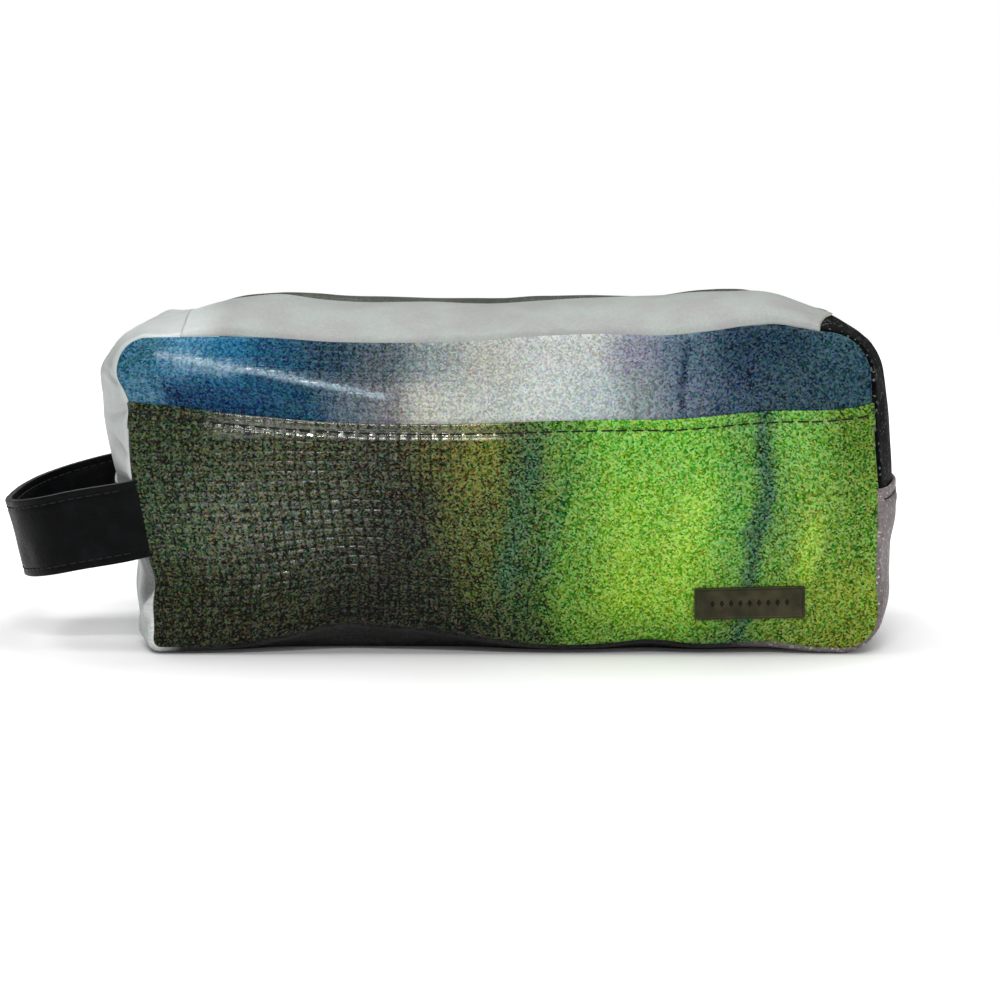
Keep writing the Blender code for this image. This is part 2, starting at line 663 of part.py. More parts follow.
def build():
    clear_scene()
    blue = material("blue_print", (0.03, 0.12, 0.22), 0.35)
    green = material("green_print", (0.16, 0.30, 0.04), 0.38)
    olive = material("olive_print", (0.05, 0.06, 0.02), 0.4)
    white = material("white_vinyl", (0.62, 0.64, 0.62), 0.35)
    black = material("black_print", (0.01, 0.011, 0.014), 0.28)
    taupe = material("taupe_print", (0.21, 0.18, 0.18), 0.45)
    grey = material("grey_print", (0.52, 0.53, 0.51), 0.38)
    cloth = material("lining_cloth", (0.02, 0.02, 0.022), 0.8)
    webbing = material("zip_tape", (0.01, 0.01, 0.01), 0.85)
    nylon = material("zip_coil", (0.008, 0.008, 0.009), 0.45)
    thread = material("black_thread", (0.006, 0.006, 0.007), 0.6)
    leather = material("black_leather", (0.012, 0.012, 0.014), 0.45)
    gunmetal = material("gunmetal", (0.12, 0.11, 0.1), 0.35, 1.0)
    steel = material("plated_steel", (0.3, 0.3, 0.3), 0.4, 1.0)

    make_front_panels(blue, green)
    make_back_panel(olive)
    make_gusset(white, black, taupe)
    make_linings(cloth)
    make_seam_bindings(webbing)
    make_topstitching(thread)
    make_name_plate(gunmetal, steel)
    make_strip(-1, "top_front", grey, cloth, webbing, nylon, thread)
    make_strip(1, "top_back", olive, cloth, webbing, nylon, thread)
    make_zip_stops(gunmetal)
    make_slider(gunmetal)
    make_puller(gunmetal)
    make_loop(leather, thread)
    make_loop_ends(leather)


build()
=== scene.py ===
"""Looks of the toiletry bag: sewn printed vinyl, zip, plate and leather loop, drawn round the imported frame.

Millimetres are written as numbers times MM. A place on the gusset (ends, bottom and top strips together) is a
distance s along the seam line and a depth y; a place on the front or the back is an x and a height z.
"""
import json
import math

import bmesh
import bpy
import numpy as np
from mathutils import Matrix, Vector


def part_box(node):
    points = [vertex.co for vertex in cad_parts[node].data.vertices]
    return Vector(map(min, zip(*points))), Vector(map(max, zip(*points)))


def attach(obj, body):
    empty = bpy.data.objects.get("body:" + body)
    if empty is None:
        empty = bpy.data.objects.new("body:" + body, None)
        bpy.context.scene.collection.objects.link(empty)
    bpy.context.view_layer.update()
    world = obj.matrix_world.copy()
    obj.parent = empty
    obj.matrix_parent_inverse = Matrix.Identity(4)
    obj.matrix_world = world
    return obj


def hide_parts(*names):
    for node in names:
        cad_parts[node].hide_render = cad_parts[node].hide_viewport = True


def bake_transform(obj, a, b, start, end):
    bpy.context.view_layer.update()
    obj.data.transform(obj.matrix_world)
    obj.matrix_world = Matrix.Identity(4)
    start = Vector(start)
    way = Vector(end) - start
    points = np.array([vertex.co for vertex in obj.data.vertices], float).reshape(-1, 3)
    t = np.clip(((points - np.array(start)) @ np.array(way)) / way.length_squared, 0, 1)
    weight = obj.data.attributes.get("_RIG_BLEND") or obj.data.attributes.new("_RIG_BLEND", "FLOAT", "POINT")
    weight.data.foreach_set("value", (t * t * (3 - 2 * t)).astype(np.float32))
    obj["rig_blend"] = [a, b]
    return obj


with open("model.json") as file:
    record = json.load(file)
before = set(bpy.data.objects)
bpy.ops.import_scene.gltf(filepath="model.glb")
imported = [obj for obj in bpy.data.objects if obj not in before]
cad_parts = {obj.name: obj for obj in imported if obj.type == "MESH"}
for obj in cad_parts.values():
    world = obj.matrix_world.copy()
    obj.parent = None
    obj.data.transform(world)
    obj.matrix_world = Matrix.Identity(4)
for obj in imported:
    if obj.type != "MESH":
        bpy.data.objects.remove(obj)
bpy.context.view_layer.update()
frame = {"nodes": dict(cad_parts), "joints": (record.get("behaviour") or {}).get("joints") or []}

MM = 0.001
JOINTS = {j["name"]: j for j in frame["joints"]}

# sizes that come from the frame
HALF = float(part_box("front_upper_panel")[1][0])
SEAM_TOP = float(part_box("front_upper_panel")[1][2])
DEEP = 55 * MM
LOOP_Z = JOINTS["handle_swing"]["pos_m"][2]
LOOP_LEG_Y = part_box("handle_outer_strap")[1][1]
ZIP_Z = sum(corner[2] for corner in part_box("zip_coil_front")) / 2
ZIP_RISE = ZIP_Z - SEAM_TOP
LAP_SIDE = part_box("lower_gusset")[1][2]
PLATE_LOW, PLATE_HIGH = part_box("name_plate")
PLATE_MIDDLE = (PLATE_LOW + PLATE_HIGH) / 2

# the bag's own sizes
VINYL = 0.6 * MM
RIM_BOTTOM = 3 * MM
STRIP_END = 107 * MM
LIP = 6.0 * MM
FRONT_LAP = 80 * MM
ROLL = 1.9 * MM  # radius that a panel's edge turns into its seam with
EDGE = 0.7 * MM  # from the outline to where a turned edge ends
EDGE_Y = DEEP - EDGE
FACE_MIDDLE = (SEAM_TOP + RIM_BOTTOM) / 2
FACE_HALF = (SEAM_TOP - RIM_BOTTOM) / 2
RIDGE = 0.33  # the strips are highest at this share of the depth
FLAT_BOTTOM = 0.75  # the bottom lies on the table up to this share of the depth
STITCH_INSET = 3.6 * MM
CORNERS = {"low_right": 9 * MM, "high_right": 16 * MM, "high_left": 9 * MM, "low_left": 5 * MM}


# ---- small numeric helpers ----

def smooth(a, b, t):
    """A smooth step from 0 to 1 as t goes from a to b."""
    r = np.clip((np.asarray(t, float) - a) / (b - a), 0, 1)
    return r * r * (3 - 2 * r)


def curve(points):
    """A smooth curve through (place, value) points in millimetres, as a function of metres."""
    xs = np.array([p[0] for p in points]) * MM
    ys = np.array([p[1] for p in points]) * MM
    slopes = np.gradient(ys, xs)

    def at(t):
        t = np.clip(np.asarray(t, float), xs[0], xs[-1])
        i = np.clip(np.searchsorted(xs, t) - 1, 0, len(xs) - 2)
        h = xs[i + 1] - xs[i]
        r = (t - xs[i]) / h
        a = ys[i] * (1 + 2 * r) * (1 - r) ** 2 + ys[i + 1] * r * r * (3 - 2 * r)
        return a + h * (slopes[i] * r * (1 - r) ** 2 - slopes[i + 1] * r * r * (1 - r))

    return at


def ripple(t, length, seed):
    """Smooth noise in -1..1 along a line, whose waves are about `length` long."""
    count = 512
    table = np.random.RandomState(seed).uniform(-1, 1, count)
    q = np.asarray(t, float) / length + 100.5
    i = np.floor(q).astype(int)
    r = smooth(0, 1, q - i)
    return table[i % count] * (1 - r) + table[(i + 1) % count] * r


def dapple(a, b, length, seed):
    """Smooth noise in -1..1 over a surface, whose dents are about `length` across."""
    count = 64
    table = np.random.RandomState(seed).uniform(-1, 1, (count, count))
    p = np.asarray(a, float) / length + 20.3
    q = np.asarray(b, float) / length + 20.7
    i, j = np.floor(p).astype(int), np.floor(q).astype(int)
    r, t = smooth(0, 1, p - i), smooth(0, 1, q - j)

    def row(j):
        return table[i % count, j % count] * (1 - r) + table[(i + 1) % count, j % count] * r

    return row(j) * (1 - t) + row(j + 1) * t


def crowd(a, b, count, grip=0.8):
    """Places from a to b that crowd towards both ends, where a panel turns into its seams."""
    t = np.linspace(0, 1, count)
    eased = 0.5 - 0.5 * np.cos(np.pi * t)
    return a + (b - a) * (grip * eased + (1 - grip) * t)


def bell(distance, width):
    """1 at no distance, falling off smoothly over about a width."""
    return np.exp(-((distance / width) ** 2))


# ---- the shape of the bag ----
# The front seam is a rounded rectangle, warped a little, as soft goods are.

TOP_WAVE = curve([(-127, 0), (-76, 0), (-58, -1.3), (-34, -1.7), (-7, -1), (10, 0.4), (36, 1.4), (56, 0.9),
                  (71, 2.4), (86, 4.4), (96, 4.2), (107, 2.4), (127, 1)])
BOTTOM_WAVE = curve([(-127, -1.5), (-110, -1.2), (-94, 0), (-75, 3.5), (-57, 7.5), (-41, 6.5), (-22, 4.6),
                     (-7, 2.1), (13, -0.3), (34, 0), (50, 1.6), (66, 0), (95, 0.4), (104, -1.0), (127, -2)])
LEFT_WAVE = curve([(0, 5), (7, 7.4), (19, 7.6), (26, 8.4), (34, 6.2), (50, 3), (61, 0.7), (77, 0), (86, 0),
                   (90, -1.6), (95, -4), (103, -3), (112, -1)])
RIGHT_WAVE = curve([(0, -4), (6, -1), (15, 1.3), (26, 0.7), (58, 1), (70, -0.2), (88, -1.4), (96, -1.6),
                    (112, -1)])
FRONT_CROWN = curve([(-127, 0.5), (-118, 1.4), (-110, 3.6), (-98, 7.2), (-89, 9.2), (-80, 10.4), (-60, 9.4),
                     (-46, 8.8), (-5, 8.1), (19, 8.8), (36, 10.0), (66, 11.2), (76, 11.4), (89, 10.2),
                     (95, 9), (104, 6.2), (111, 4), (118, 2), (127, 0.5)])
BACK_CROWN = curve([(-127, 0.5), (-113, 1.2), (-104, 3.2), (-89, 7.4), (-46, 7.6), (-5, 6.4), (26, 7.4),
                    (52, 6.9), (70, 8.9), (84, 8.6), (96, 5.6), (104, 4), (113, 2.4), (127, 0.5)])
LEFT_SWELL = curve([(0, 2), (6, 4.5), (12, 5.5), (32, 6), (50, 7), (64, 8.6), (78, 11), (88, 11), (97, 7),
                    (104, 3), (112, 0.8)])
RIGHT_SWELL = curve([(0, 2), (6, 4), (15, 6), (35, 6.6), (57, 6.6), (83, 6.8), (94, 5.4), (103, 3.2),
                     (112, 1)])
LAP_WAVE = curve([(-127, 6.6), (-112, 5.2), (-99, 3.4), (-74, 1.1), (-48, 0.1), (0, 0), (36, 0.1),
                  (71, 0.6), (94, 1.3), (102, 2), (115, 3.4), (122, 4.4), (127, 5.8)])


def walk():
    """The stretches of the seam line, from the middle of the bottom towards +X. A straight one is (length,
    "line", start, direction, direction out), and a corner (length, "arc", centre, first turn, radius)."""
    low_right, high_right, high_left, low_left = CORNERS.values()
    rise = SEAM_TOP - RIM_BOTTOM
    quarter = math.pi / 2
    right, up, left, down = (1, 0), (0, 1), (-1, 0), (0, -1)

    def arc(x, z, first, radius):
        return quarter * radius, "arc", (x, z), first, radius

    return [
        (HALF - low_right, "line", (0, RIM_BOTTOM), right, down),
        arc(HALF - low_right, RIM_BOTTOM + low_right, -quarter, low_right),
        (rise - low_right - high_right, "line", (HALF, RIM_BOTTOM + low_right), up, right),
        arc(HALF - high_right, SEAM_TOP - high_right, 0, high_right),
        (2 * HALF - high_right - high_left, "line", (HALF - high_right, SEAM_TOP), left, up),
        arc(high_left - HALF, SEAM_TOP - high_left, quarter, high_left),
        (rise - high_left - low_left, "line", (-HALF, SEAM_TOP - high_left), down, left),
        arc(low_left - HALF, RIM_BOTTOM + low_left, 2 * quarter, low_left),
        (HALF - low_left, "line", (low_left - HALF, RIM_BOTTOM), right, down),
    ]


WALK = walk()
STARTS = np.cumsum([0] + [w[0] for w in WALK])
S_ALL = float(STARTS[-1])
# where the right end, the top, the corner after it, the left end, the corner after it and the bottom start
S_RIGHT, S_TOP, S_HIGH_LEFT, S_LEFT, S_LOW_LEFT, S_BOTTOM = STARTS[[2, 4, 5, 6, 7, 8]]


def rim(s):
    """(places, directions out, radii) of the seam line at an array of s."""
    s = np.mod(np.asarray(s, float), S_ALL)
    at, out, radius = np.zeros(s.shape + (2,)), np.zeros(s.shape + (2,)), np.zeros(s.shape)
    for start, (length, kind, place, a, b) in zip(STARTS, WALK):
        here = (s >= start) & (s <= start + length)
        t = (s - start)[..., None]
        if kind == "line":
            at = np.where(here[..., None], np.array(place) + t * np.array(a), at)
            out = np.where(here[..., None], np.array(b), out)
            radius = np.where(here, 0, radius)
        else:
            turn = a + (s - start) / b
            at = np.where(here[..., None], np.array(place), at)
            out = np.where(here[..., None], np.stack([np.cos(turn), np.sin(turn)], -1), out)
            radius = np.where(here, b, radius)
    return at, out, radius


def s_right(z):
    """The place s on the right end at a height."""
    return S_RIGHT + z - RIM_BOTTOM - CORNERS["low_right"]


def s_left(z):
    """The place s on the left end at a height, and also the height at a place s."""
    return S_LEFT + SEAM_TOP - CORNERS["high_left"] - z


def s_top(x):
    """The place s on the top at an x."""
    return S_TOP + HALF - CORNERS["high_right"] - x


def warp(p):
    """Bend points of the plain bag to its real, uneven outline. The front edge takes most of it."""
    x, y, z = p[..., 0], p[..., 1], p[..., 2]
    ahead = smooth(DEEP, -DEEP, y)
    u = np.clip((x + HALF) / (2 * HALF), 0, 1)
    v = np.clip(z / SEAM_TOP, 0, 1)
    side = LEFT_WAVE(z) * (1 - u) ** 2 + RIGHT_WAVE(z) * u**2
    near_front = smooth(-15 * MM, -52 * MM, y)
    near_back = smooth(15 * MM, 52 * MM, y)
    off_zip = smooth(5 * MM, 16 * MM, np.abs(y))
    rise = v**2 * TOP_WAVE(x) * (0.2 + 0.8 * near_front) * (1 - near_back) * off_zip
    rise = rise + (1 - v) ** 2 * BOTTOM_WAVE(x) * smooth(-34 * MM, -53 * MM, y)
    rise = rise + near_back * (1 - v) ** 2 * (1.2 * MM + 1.2 * MM * ripple(x, 60 * MM, 5))
    rise = rise + near_back * v**2 * 1.2 * MM * ripple(x, 55 * MM, 6)
    return np.stack([x + side * (0.25 + 0.75 * ahead), y, np.maximum(z + rise, 0.0)], -1)


def swell(s, y):
    """How far the gusset stands out from the seam line."""
    at, out, radius = rim(s)
    x, z = at[..., 0] + out[..., 0] * radius, at[..., 1] + out[..., 1] * radius
    w = np.clip(np.abs(y) / DEEP, 0, 1)
    side = (1 - w * w) * (1 - 0.3 * np.clip(y / DEEP, -1, 1))
    over = np.clip((w - RIDGE) / (1 - RIDGE), 0, 1)
    blend = smooth(-14 * MM, 14 * MM, y)
    crown = FRONT_CROWN(x) * (1 - blend) + BACK_CROWN(x) * blend
    valley = smooth(RIDGE, LIP / DEEP, w)
    top = crown * (1 - over**2) * (1 - valley) + ZIP_RISE * valley
    top = crown * side + smooth(116 * MM, 98 * MM, np.abs(x)) * (top - crown * side)
    flat = np.clip((1 - w * w) / (1 - FLAT_BOTTOM**2), 0, 1)
    up = smooth(0.55, 1.0, out[..., 1])
    down = smooth(0.1, 1.0, -out[..., 1])
    end_size = np.where(x < 0, LEFT_SWELL(z), RIGHT_SWELL(z))
    return up * top + down * RIM_BOTTOM * flat + (1 - up - down) * end_size * side


def pucker(s, y):
    """The gathers that the two seams pull into the gusset, and slow folds between them."""
    edge = DEEP - np.abs(y)
    near = np.exp(-edge / (7 * MM)) * smooth(0, 2.5 * MM, edge)
    at, out, radius = rim(s)
    up_or_side = 1 - smooth(0.3, 0.9, -out[..., 1])
    shift = np.where(y < 0, 0.0, 0.37)
    fine = ripple(s + shift, 4.2 * MM, 11) + 0.6 * ripple(s + shift, 9 * MM, 12)
    slow = dapple(s, y, 24 * MM, 13) + 0.5 * dapple(s, y, 11 * MM, 14)
    off_zip = np.where(out[..., 1] > 0.5, smooth(9 * MM, 18 * MM, np.abs(y)), 1.0)
    folds = 0.45 * MM * slow * smooth(2 * MM, 14 * MM, edge) * off_zip
    return up_or_side * (0.55 * MM * near * fine + folds)


def creases(s, y):
    """The deep diagonal fold low on the left end, and the pinches under its top corner."""
    z = s_left(s)
    left = smooth(S_HIGH_LEFT, S_LEFT, s) * smooth(S_LOW_LEFT + 8 * MM, S_LOW_LEFT, s)
    fold = z - 24 * MM + 0.5 * (y + DEEP)
    line = bell(fold, 2.5 * MM) - 0.7 * bell(fold + 6 * MM, 5 * MM)
    near = smooth(-8 * MM, -40 * MM, y)
    pinch = 0.0
    for height, slope, depth in ((92, 0.35, 1.0), (84, -0.2, 0.8), (68, 0.3, 0.9), (60, -0.15, 0.6)):
        off = z - height * MM - slope * (y + DEEP)
        pinch = pinch + depth * bell(off, 1.7 * MM) * smooth(-28 * MM, -54 * MM, y)
    off_seam = smooth(0.7 * MM, 4 * MM, DEEP - np.abs(y))
    return -left * (2.1 * MM * line * near + 1.5 * MM * pinch) * (0.15 + 0.85 * off_seam)


def edge_roll(distance):
    """How far a surface has turned in at a distance from its outline."""
    d = np.clip(ROLL + EDGE - distance, 0, ROLL)
    return ROLL - np.sqrt(np.maximum(ROLL**2 - d**2, 0))


def gusset(s, y, inset=0.0, rolled=True):
    """A point on the gusset. A positive inset goes into the bag."""
    s, y = np.broadcast_arrays(np.mod(np.asarray(s, float), S_ALL), np.asarray(y, float))
    at, out, radius = rim(s)
    reach = radius - inset + swell(s, y)
    if rolled:
        relief = pucker(s, y) + creases(s, y)
        reach = reach + relief * smooth(0.0, 0.4, 1 + out[..., 1]) - edge_roll(DEEP - np.abs(y))
    flat = np.stack([at[..., 0] + out[..., 0] * reach, y, at[..., 1] + out[..., 1] * reach], -1)
    return warp(flat)


def corner_radius(x, high):
    """The radius of the face's corner on x's side, at the top where `high` holds."""
    top = np.where(x > 0, CORNERS["high_right"], CORNERS["high_left"])
    low = np.where(x > 0, CORNERS["low_right"], CORNERS["low_left"])
    return np.where(high, top, low)


def face_distance(x, z):
    """Distance in from the face's outline."""
    radius = corner_radius(x, z > SEAM_TOP / 2)
    qx = np.abs(x) - HALF + radius
    qz = np.abs(z - FACE_MIDDLE) - FACE_HALF + radius
    outside = np.hypot(np.maximum(qx, 0), np.maximum(qz, 0))
    return radius - outside - np.minimum(np.maximum(qx, qz), 0)


def rounded(x, inset, high):
    """(radius, rise at x) of a corner of the face's outline. The rise is 0 at the face's side."""
    radius = corner_radius(x, high) - inset
    over = np.clip(np.abs(x) - (HALF - inset - radius), 0, radius)
    return radius, np.sqrt(np.maximum(radius * radius - over * over, 0))


def outline_top(x, inset=EDGE):
    radius, rise = rounded(x, inset, True)
    return SEAM_TOP - inset - radius + rise


def outline_bottom(x, inset=EDGE):
    radius, rise = rounded(x, inset, False)
    return RIM_BOTTOM + inset + radius - rise


def face_relief(x, z, seed):
    """Soft dents, and pulls that run in from the seams."""
    d = np.maximum(face_distance(x, z), 0)
    slow = dapple(x, z, 42 * MM, seed) + 0.5 * dapple(x, z, 19 * MM, seed + 1)
    pulls = ripple(x + 0.25 * z, 8 * MM, seed + 2) + 0.6 * ripple(x - 0.2 * z, 4.5 * MM, seed + 3)
    near_low_or_high = np.exp(-np.minimum(np.abs(z - SEAM_TOP), np.abs(z - RIM_BOTTOM)) / (7 * MM))
    side_pulls = ripple(z, 7 * MM, seed + 4) * np.exp(-(HALF - np.abs(x)) / (9 * MM))
    plate = np.exp(-(((x - PLATE_MIDDLE.x) / (27 * MM)) ** 4) - ((z - PLATE_MIDDLE.z) / (13 * MM)) ** 4)
    fade = smooth(EDGE, 4 * MM, d) * (1 - plate)
    slow = 0.7 * MM * slow * smooth(0, 20 * MM, d)
    return fade * (slow + 0.28 * MM * near_low_or_high * pulls + 0.4 * MM * side_pulls)


def bulge(x, z, proud, low_share):
    """How far a face stands out: by `proud` in its middle, and more below than above by a share."""
    u = np.clip(np.abs(x) / HALF, 0, 1)
    v = np.clip((z - FACE_MIDDLE) / FACE_HALF, -1, 1)
    return proud * (1 - u**4) * (1 - v * v) * (1 - low_share * v)


def front_folds(x, z):
    """A long shallow fold down from the top left corner, and a hollow that tilts the lower left to -X."""
    fold = z - 103 * MM + 0.17 * (x + 118 * MM)
    run = smooth(-122 * MM, -108 * MM, x) * smooth(-20 * MM, -60 * MM, x)
    crease = 0.9 * MM * bell(fold, 3 * MM) - 0.5 * MM * bell(fold + 6 * MM, 4 * MM)
    low = bell(z - 45 * MM, 30 * MM) * smooth(EDGE, 9 * MM, face_distance(x, z))
    hollow = MM * bell(x + 58 * MM, 20 * MM) - 1.6 * MM * bell(x + 106 * MM, 15 * MM)
    return run * crease + low * hollow


def front(x, z, depth=0.0):
    """A point on the front. Positive depth goes into the bag."""
    x, z = np.broadcast_arrays(np.asarray(x, float), np.asarray(z, float))
    relief = face_relief(x, z, 21) - edge_roll(face_distance(x, z)) + front_folds(x, z)
    out = bulge(x, z, 5.6 * MM, 0.4) + relief
    return warp(np.stack([x, -DEEP - out + depth, z], -1))


def back(x, z, depth=0.0):
    """A point on the back. Positive depth goes into the bag."""
    x, z = np.broadcast_arrays(np.asarray(x, float), np.asarray(z, float))
    out = bulge(x, z, 5 * MM, 0) + face_relief(x, z, 51) - edge_roll(face_distance(x, z))
    return warp(np.stack([x, DEEP + out - depth, z], -1))


# ---- meshes ----

def link(name, mesh, finish):
    mesh.materials.append(finish)
    mesh.shade_smooth()
    obj = bpy.data.objects.new(name, mesh)
    bpy.context.collection.objects.link(obj)
    return obj


def mesh_of(name, points, faces):
    mesh = bpy.data.meshes.new(name)
    mesh.from_pydata(points, [], faces)
    return mesh


def ease(obj, width):
    """Round the sharp edges over."""
    bevel = obj.modifiers.new("bevel", "BEVEL")
    bevel.width = width
    bevel.segments = 2
    return bevel


def sheet(name, points, uv, finish, thickness=VINYL, edge=None):
    """A grid of points as cloth of a real thickness, with its UV in metres. The points are its outer face."""
    n, m = points.shape[:2]
    index = np.arange(n * m).reshape(n, m)
    quads = np.stack([index[:-1, :-1], index[1:, :-1], index[1:, 1:], index[:-1, 1:]], -1).reshape(-1, 4)
    mesh = mesh_of(name, points.reshape(-1, 3).tolist(), quads.tolist())
    layer = mesh.uv_layers.new(name="cloth")
    layer.data.foreach_set("uv", uv.reshape(-1, 2)[quads.ravel()].astype(np.float32).ravel())
    obj = link(name, mesh, finish)
    solid = obj.modifiers.new("thickness", "SOLIDIFY")
    solid.thickness = thickness
    solid.offset = -1
    if edge:
        mesh.materials.append(edge)
        solid.material_offset_rim = 1
    return obj


def face_sheet(name, surface, low, high, finish, rows=70, side=HALF - EDGE, depth=0.0, **more):
    """A sheet on the front or the back, between the heights low(x) and high(x)."""
    xs = crowd(-side, side, 250)
    x = np.repeat(xs[:, None], rows, 1)
    t = crowd(0, 1, rows)
    z = low(xs)[:, None] * (1 - t) + high(xs)[:, None] * t
    points = surface(x, z, depth)
    uv = np.stack([x, z], -1)
    if surface is back:
        points, uv = points[::-1], uv[::-1]
    return sheet(name, points, uv, finish, **more)


def gusset_sheet(name, s, y, finish, inset=0.0, **more):
    """A sheet on the gusset. s runs down, so that the sheet faces out; s, y and inset may be grids."""
    s, y, inset = np.broadcast_arrays(s, y, inset)
    return sheet(name, gusset(s, y, inset), np.stack([s, y], -1), finish, **more)


def grid(a, b):
    """Columns of a against rows of b."""
    return np.asarray(a)[:, None], np.asarray(b)[None, :]


def tube_points(path, normal, radius, sides):
    """Rings of points round a path (k, 3); radius may vary along it."""
    path = np.asarray(path, float)
    forward = np.gradient(path, axis=0)
    forward /= np.linalg.norm(forward, axis=1)[:, None] + 1e-12
    side = np.cross(forward, normal)
    side /= np.linalg.norm(side, axis=1)[:, None] + 1e-12
    up = np.cross(side, forward)
    turn = np.linspace(0, 2 * np.pi, sides, endpoint=False)
    r = np.broadcast_to(np.asarray(radius, float), (len(path),))
    ring = up[:, None] * np.cos(turn)[None, :, None] + side[:, None] * np.sin(turn)[None, :, None]
    return path[:, None] + ring * r[:, None, None]


def tubes(name, items, finish):
    """Many closed tubes in one mesh. Each item is (path, normal, radius, sides)."""
    verts, faces = [], []
    for path, normal, radius, sides in items:
        rings = tube_points(path, normal, radius, sides)
        start = len(verts)
        verts.extend(rings.reshape(-1, 3).tolist())
        last = start + (len(rings) - 1) * sides
        for a in range(start, last, sides):
            for j in range(sides):
                k = (j + 1) % sides
                faces.append((a + j, a + k, a + sides + k, a + sides + j))
        faces.append([start + j for j in reversed(range(sides))])
        faces.append([last + j for j in range(sides)])
    return link(name, mesh_of(name, verts, faces), finish)


def along(path):
    """The distance run at each point of a path."""
    steps = np.linalg.norm(np.diff(path, axis=0), axis=1)
    return np.concatenate([[0], np.cumsum(steps)])


def stitches(name, path, normals, pitch, radius=0.27 * MM, gap=0.28, seed=1):
    """Lock stitches along a path: each stands up between its two needle holes."""
    run = along(path)
    count = max(1, int(run[-1] // pitch))
    spare = 0.5 * (run[-1] - count * pitch)
    shift = np.random.RandomState(seed).uniform(-0.06, 0.06, (count, 2)) * pitch
    sides = 8
    share = np.linspace(-1, 1, sides)
    rise = 0.16 * MM - 1.9 * radius * share**8
    items = []
    for i in range(count):
        start = i * pitch + gap / 2 * pitch + shift[i, 0] + spare
        t = np.linspace(start, start + pitch * (1 - gap), len(share))
        place, normal = (np.stack([np.interp(t, run, part) for part in line.T], 1)
                         for line in (path, normals))
        items.append((place + normal * rise[:, None], normal, radius * (1 - 0.35 * share**6), sides))
    return tubes(name, items, THREAD)


def line_on(surface, a, b, way):
    """(path, outward normals) of a line on a surface. surface(a, b) takes arrays, and way is 1 or -1."""
    step = 0.3 * MM
    path = surface(a, b)
    along_a = surface(a + step, b) - surface(a - step, b)
    along_b = surface(a, b + step) - surface(a, b - step)
    normal = np.cross(along_a, along_b) * way
    return path, normal / np.linalg.norm(normal, axis=1)[:, None]


# ---- materials ----

def rgb(*parts):
    """A colour given as sRGB parts of 255."""
    return tuple(((c / 255 + 0.055) / 1.055) ** 2.4 for c in parts) + (1.0,)


class Paint:
    """A node material being put together."""

    def __init__(self, name):
        self.material = bpy.data.materials.new(name)
        self.material.use_nodes = True
        self.nodes = self.material.node_tree.nodes
        self.links = self.material.node_tree.links
        self.surface = self.nodes["Principled BSDF"]

    def put(self, socket, value):
        if isinstance(value, bpy.types.NodeSocket):
            self.links.new(value, socket)
        else:
            socket.default_value = value

    def node(self, kind, inputs=None, **settings):
        made = self.nodes.new("ShaderNode" + kind)
        for key, value in settings.items():
            setattr(made, key, value)
        for key, value in (inputs or {}).items():
            self.put(made.inputs[key], value)
        return made

    def maths(self, operation, *values):
        made = self.node("Math", operation=operation)
        for socket, value in zip(made.inputs, values):
            self.put(socket, value)
        return made.outputs[0]

    def times(self, a, b):
        return self.maths("MULTIPLY", a, b)

    def scaled(self, value, factor, plus):
        return self.maths("MULTIPLY_ADD", value, factor, plus)

    def step(self, value, low, high, to_low=0.0, to_high=1.0):
        """A smooth step from to_low to to_high as value goes from low to high."""
        inputs = {0: value, 1: low, 2: high, 3: to_low, 4: to_high}
        return self.node("MapRange", inputs, interpolation_type="SMOOTHSTEP").outputs[0]

    def mix(self, share, a, b, blend="MIX"):
        made = self.node("Mix", {0: share, 6: a, 7: b}, data_type="RGBA", blend_type=blend)
        return made.outputs[2]

    def vectors(self, operation, *values):
        made = self.node("VectorMath", operation=operation)
        for socket, value in zip(made.inputs, values):
            self.put(socket, value)
        return made.outputs[0]

    def length(self, vector):
        return self.node("VectorMath", {0: vector}, operation="LENGTH").outputs["Value"]

    def grey(self, value):
        """One number as all three parts of a colour."""
        return self.node("CombineXYZ", {0: value, 1: value, 2: value}).outputs[0]

    def cells(self, place, per_mm):
        """Small cells on the cloth, each of a random colour."""
        inputs = {"Vector": place, "Scale": per_mm}
        return self.node("TexVoronoi", inputs, voronoi_dimensions="2D").outputs["Color"]

    def red(self, colour):
        return self.node("SeparateColor", {0: colour}).outputs[0]

    def cloth_mm(self):
        """Place on the cloth in millimetres: (vector, across, along)."""
        place = self.node("UVMap", uv_map="cloth").outputs[0]
        place = self.vectors("MULTIPLY", place, (1000, 1000, 1000))
        split = self.node("SeparateXYZ", {0: place})
        return place, split.outputs[0], split.outputs[1]

    def object_mm(self):
        place = self.node("TexCoord").outputs["Object"]
        return self.vectors("MULTIPLY", place, (1000, 1000, 1000))

    def noise(self, place, size, detail=2.0, stretch=(1, 1, 1)):
        """Noise in 0..1 whose lumps are `size` millimetres across."""
        place = self.vectors("MULTIPLY", place, tuple(1 / (size * k) for k in stretch))
        made = self.node("TexNoise", {"Vector": place, "Scale": 1.0, "Detail": detail})
        return made.outputs["Fac"]

    def bump(self, height_mm, strength=1.0):
        made = self.node("Bump", {"Strength": strength, "Distance": MM, "Height": height_mm})
        self.put(self.surface.inputs["Normal"], made.outputs[0])

    def finish(self, **values):
        for key, value in values.items():
            self.put(self.surface.inputs[key.replace("_", " ")], value)
        return self.material


MM_ACROSS = 254.0
SCRIM = 3.5  # pitch of the scrim that shows through the vinyl, in millimetres
DOT = 0.52  # size of the print's dots, in millimetres


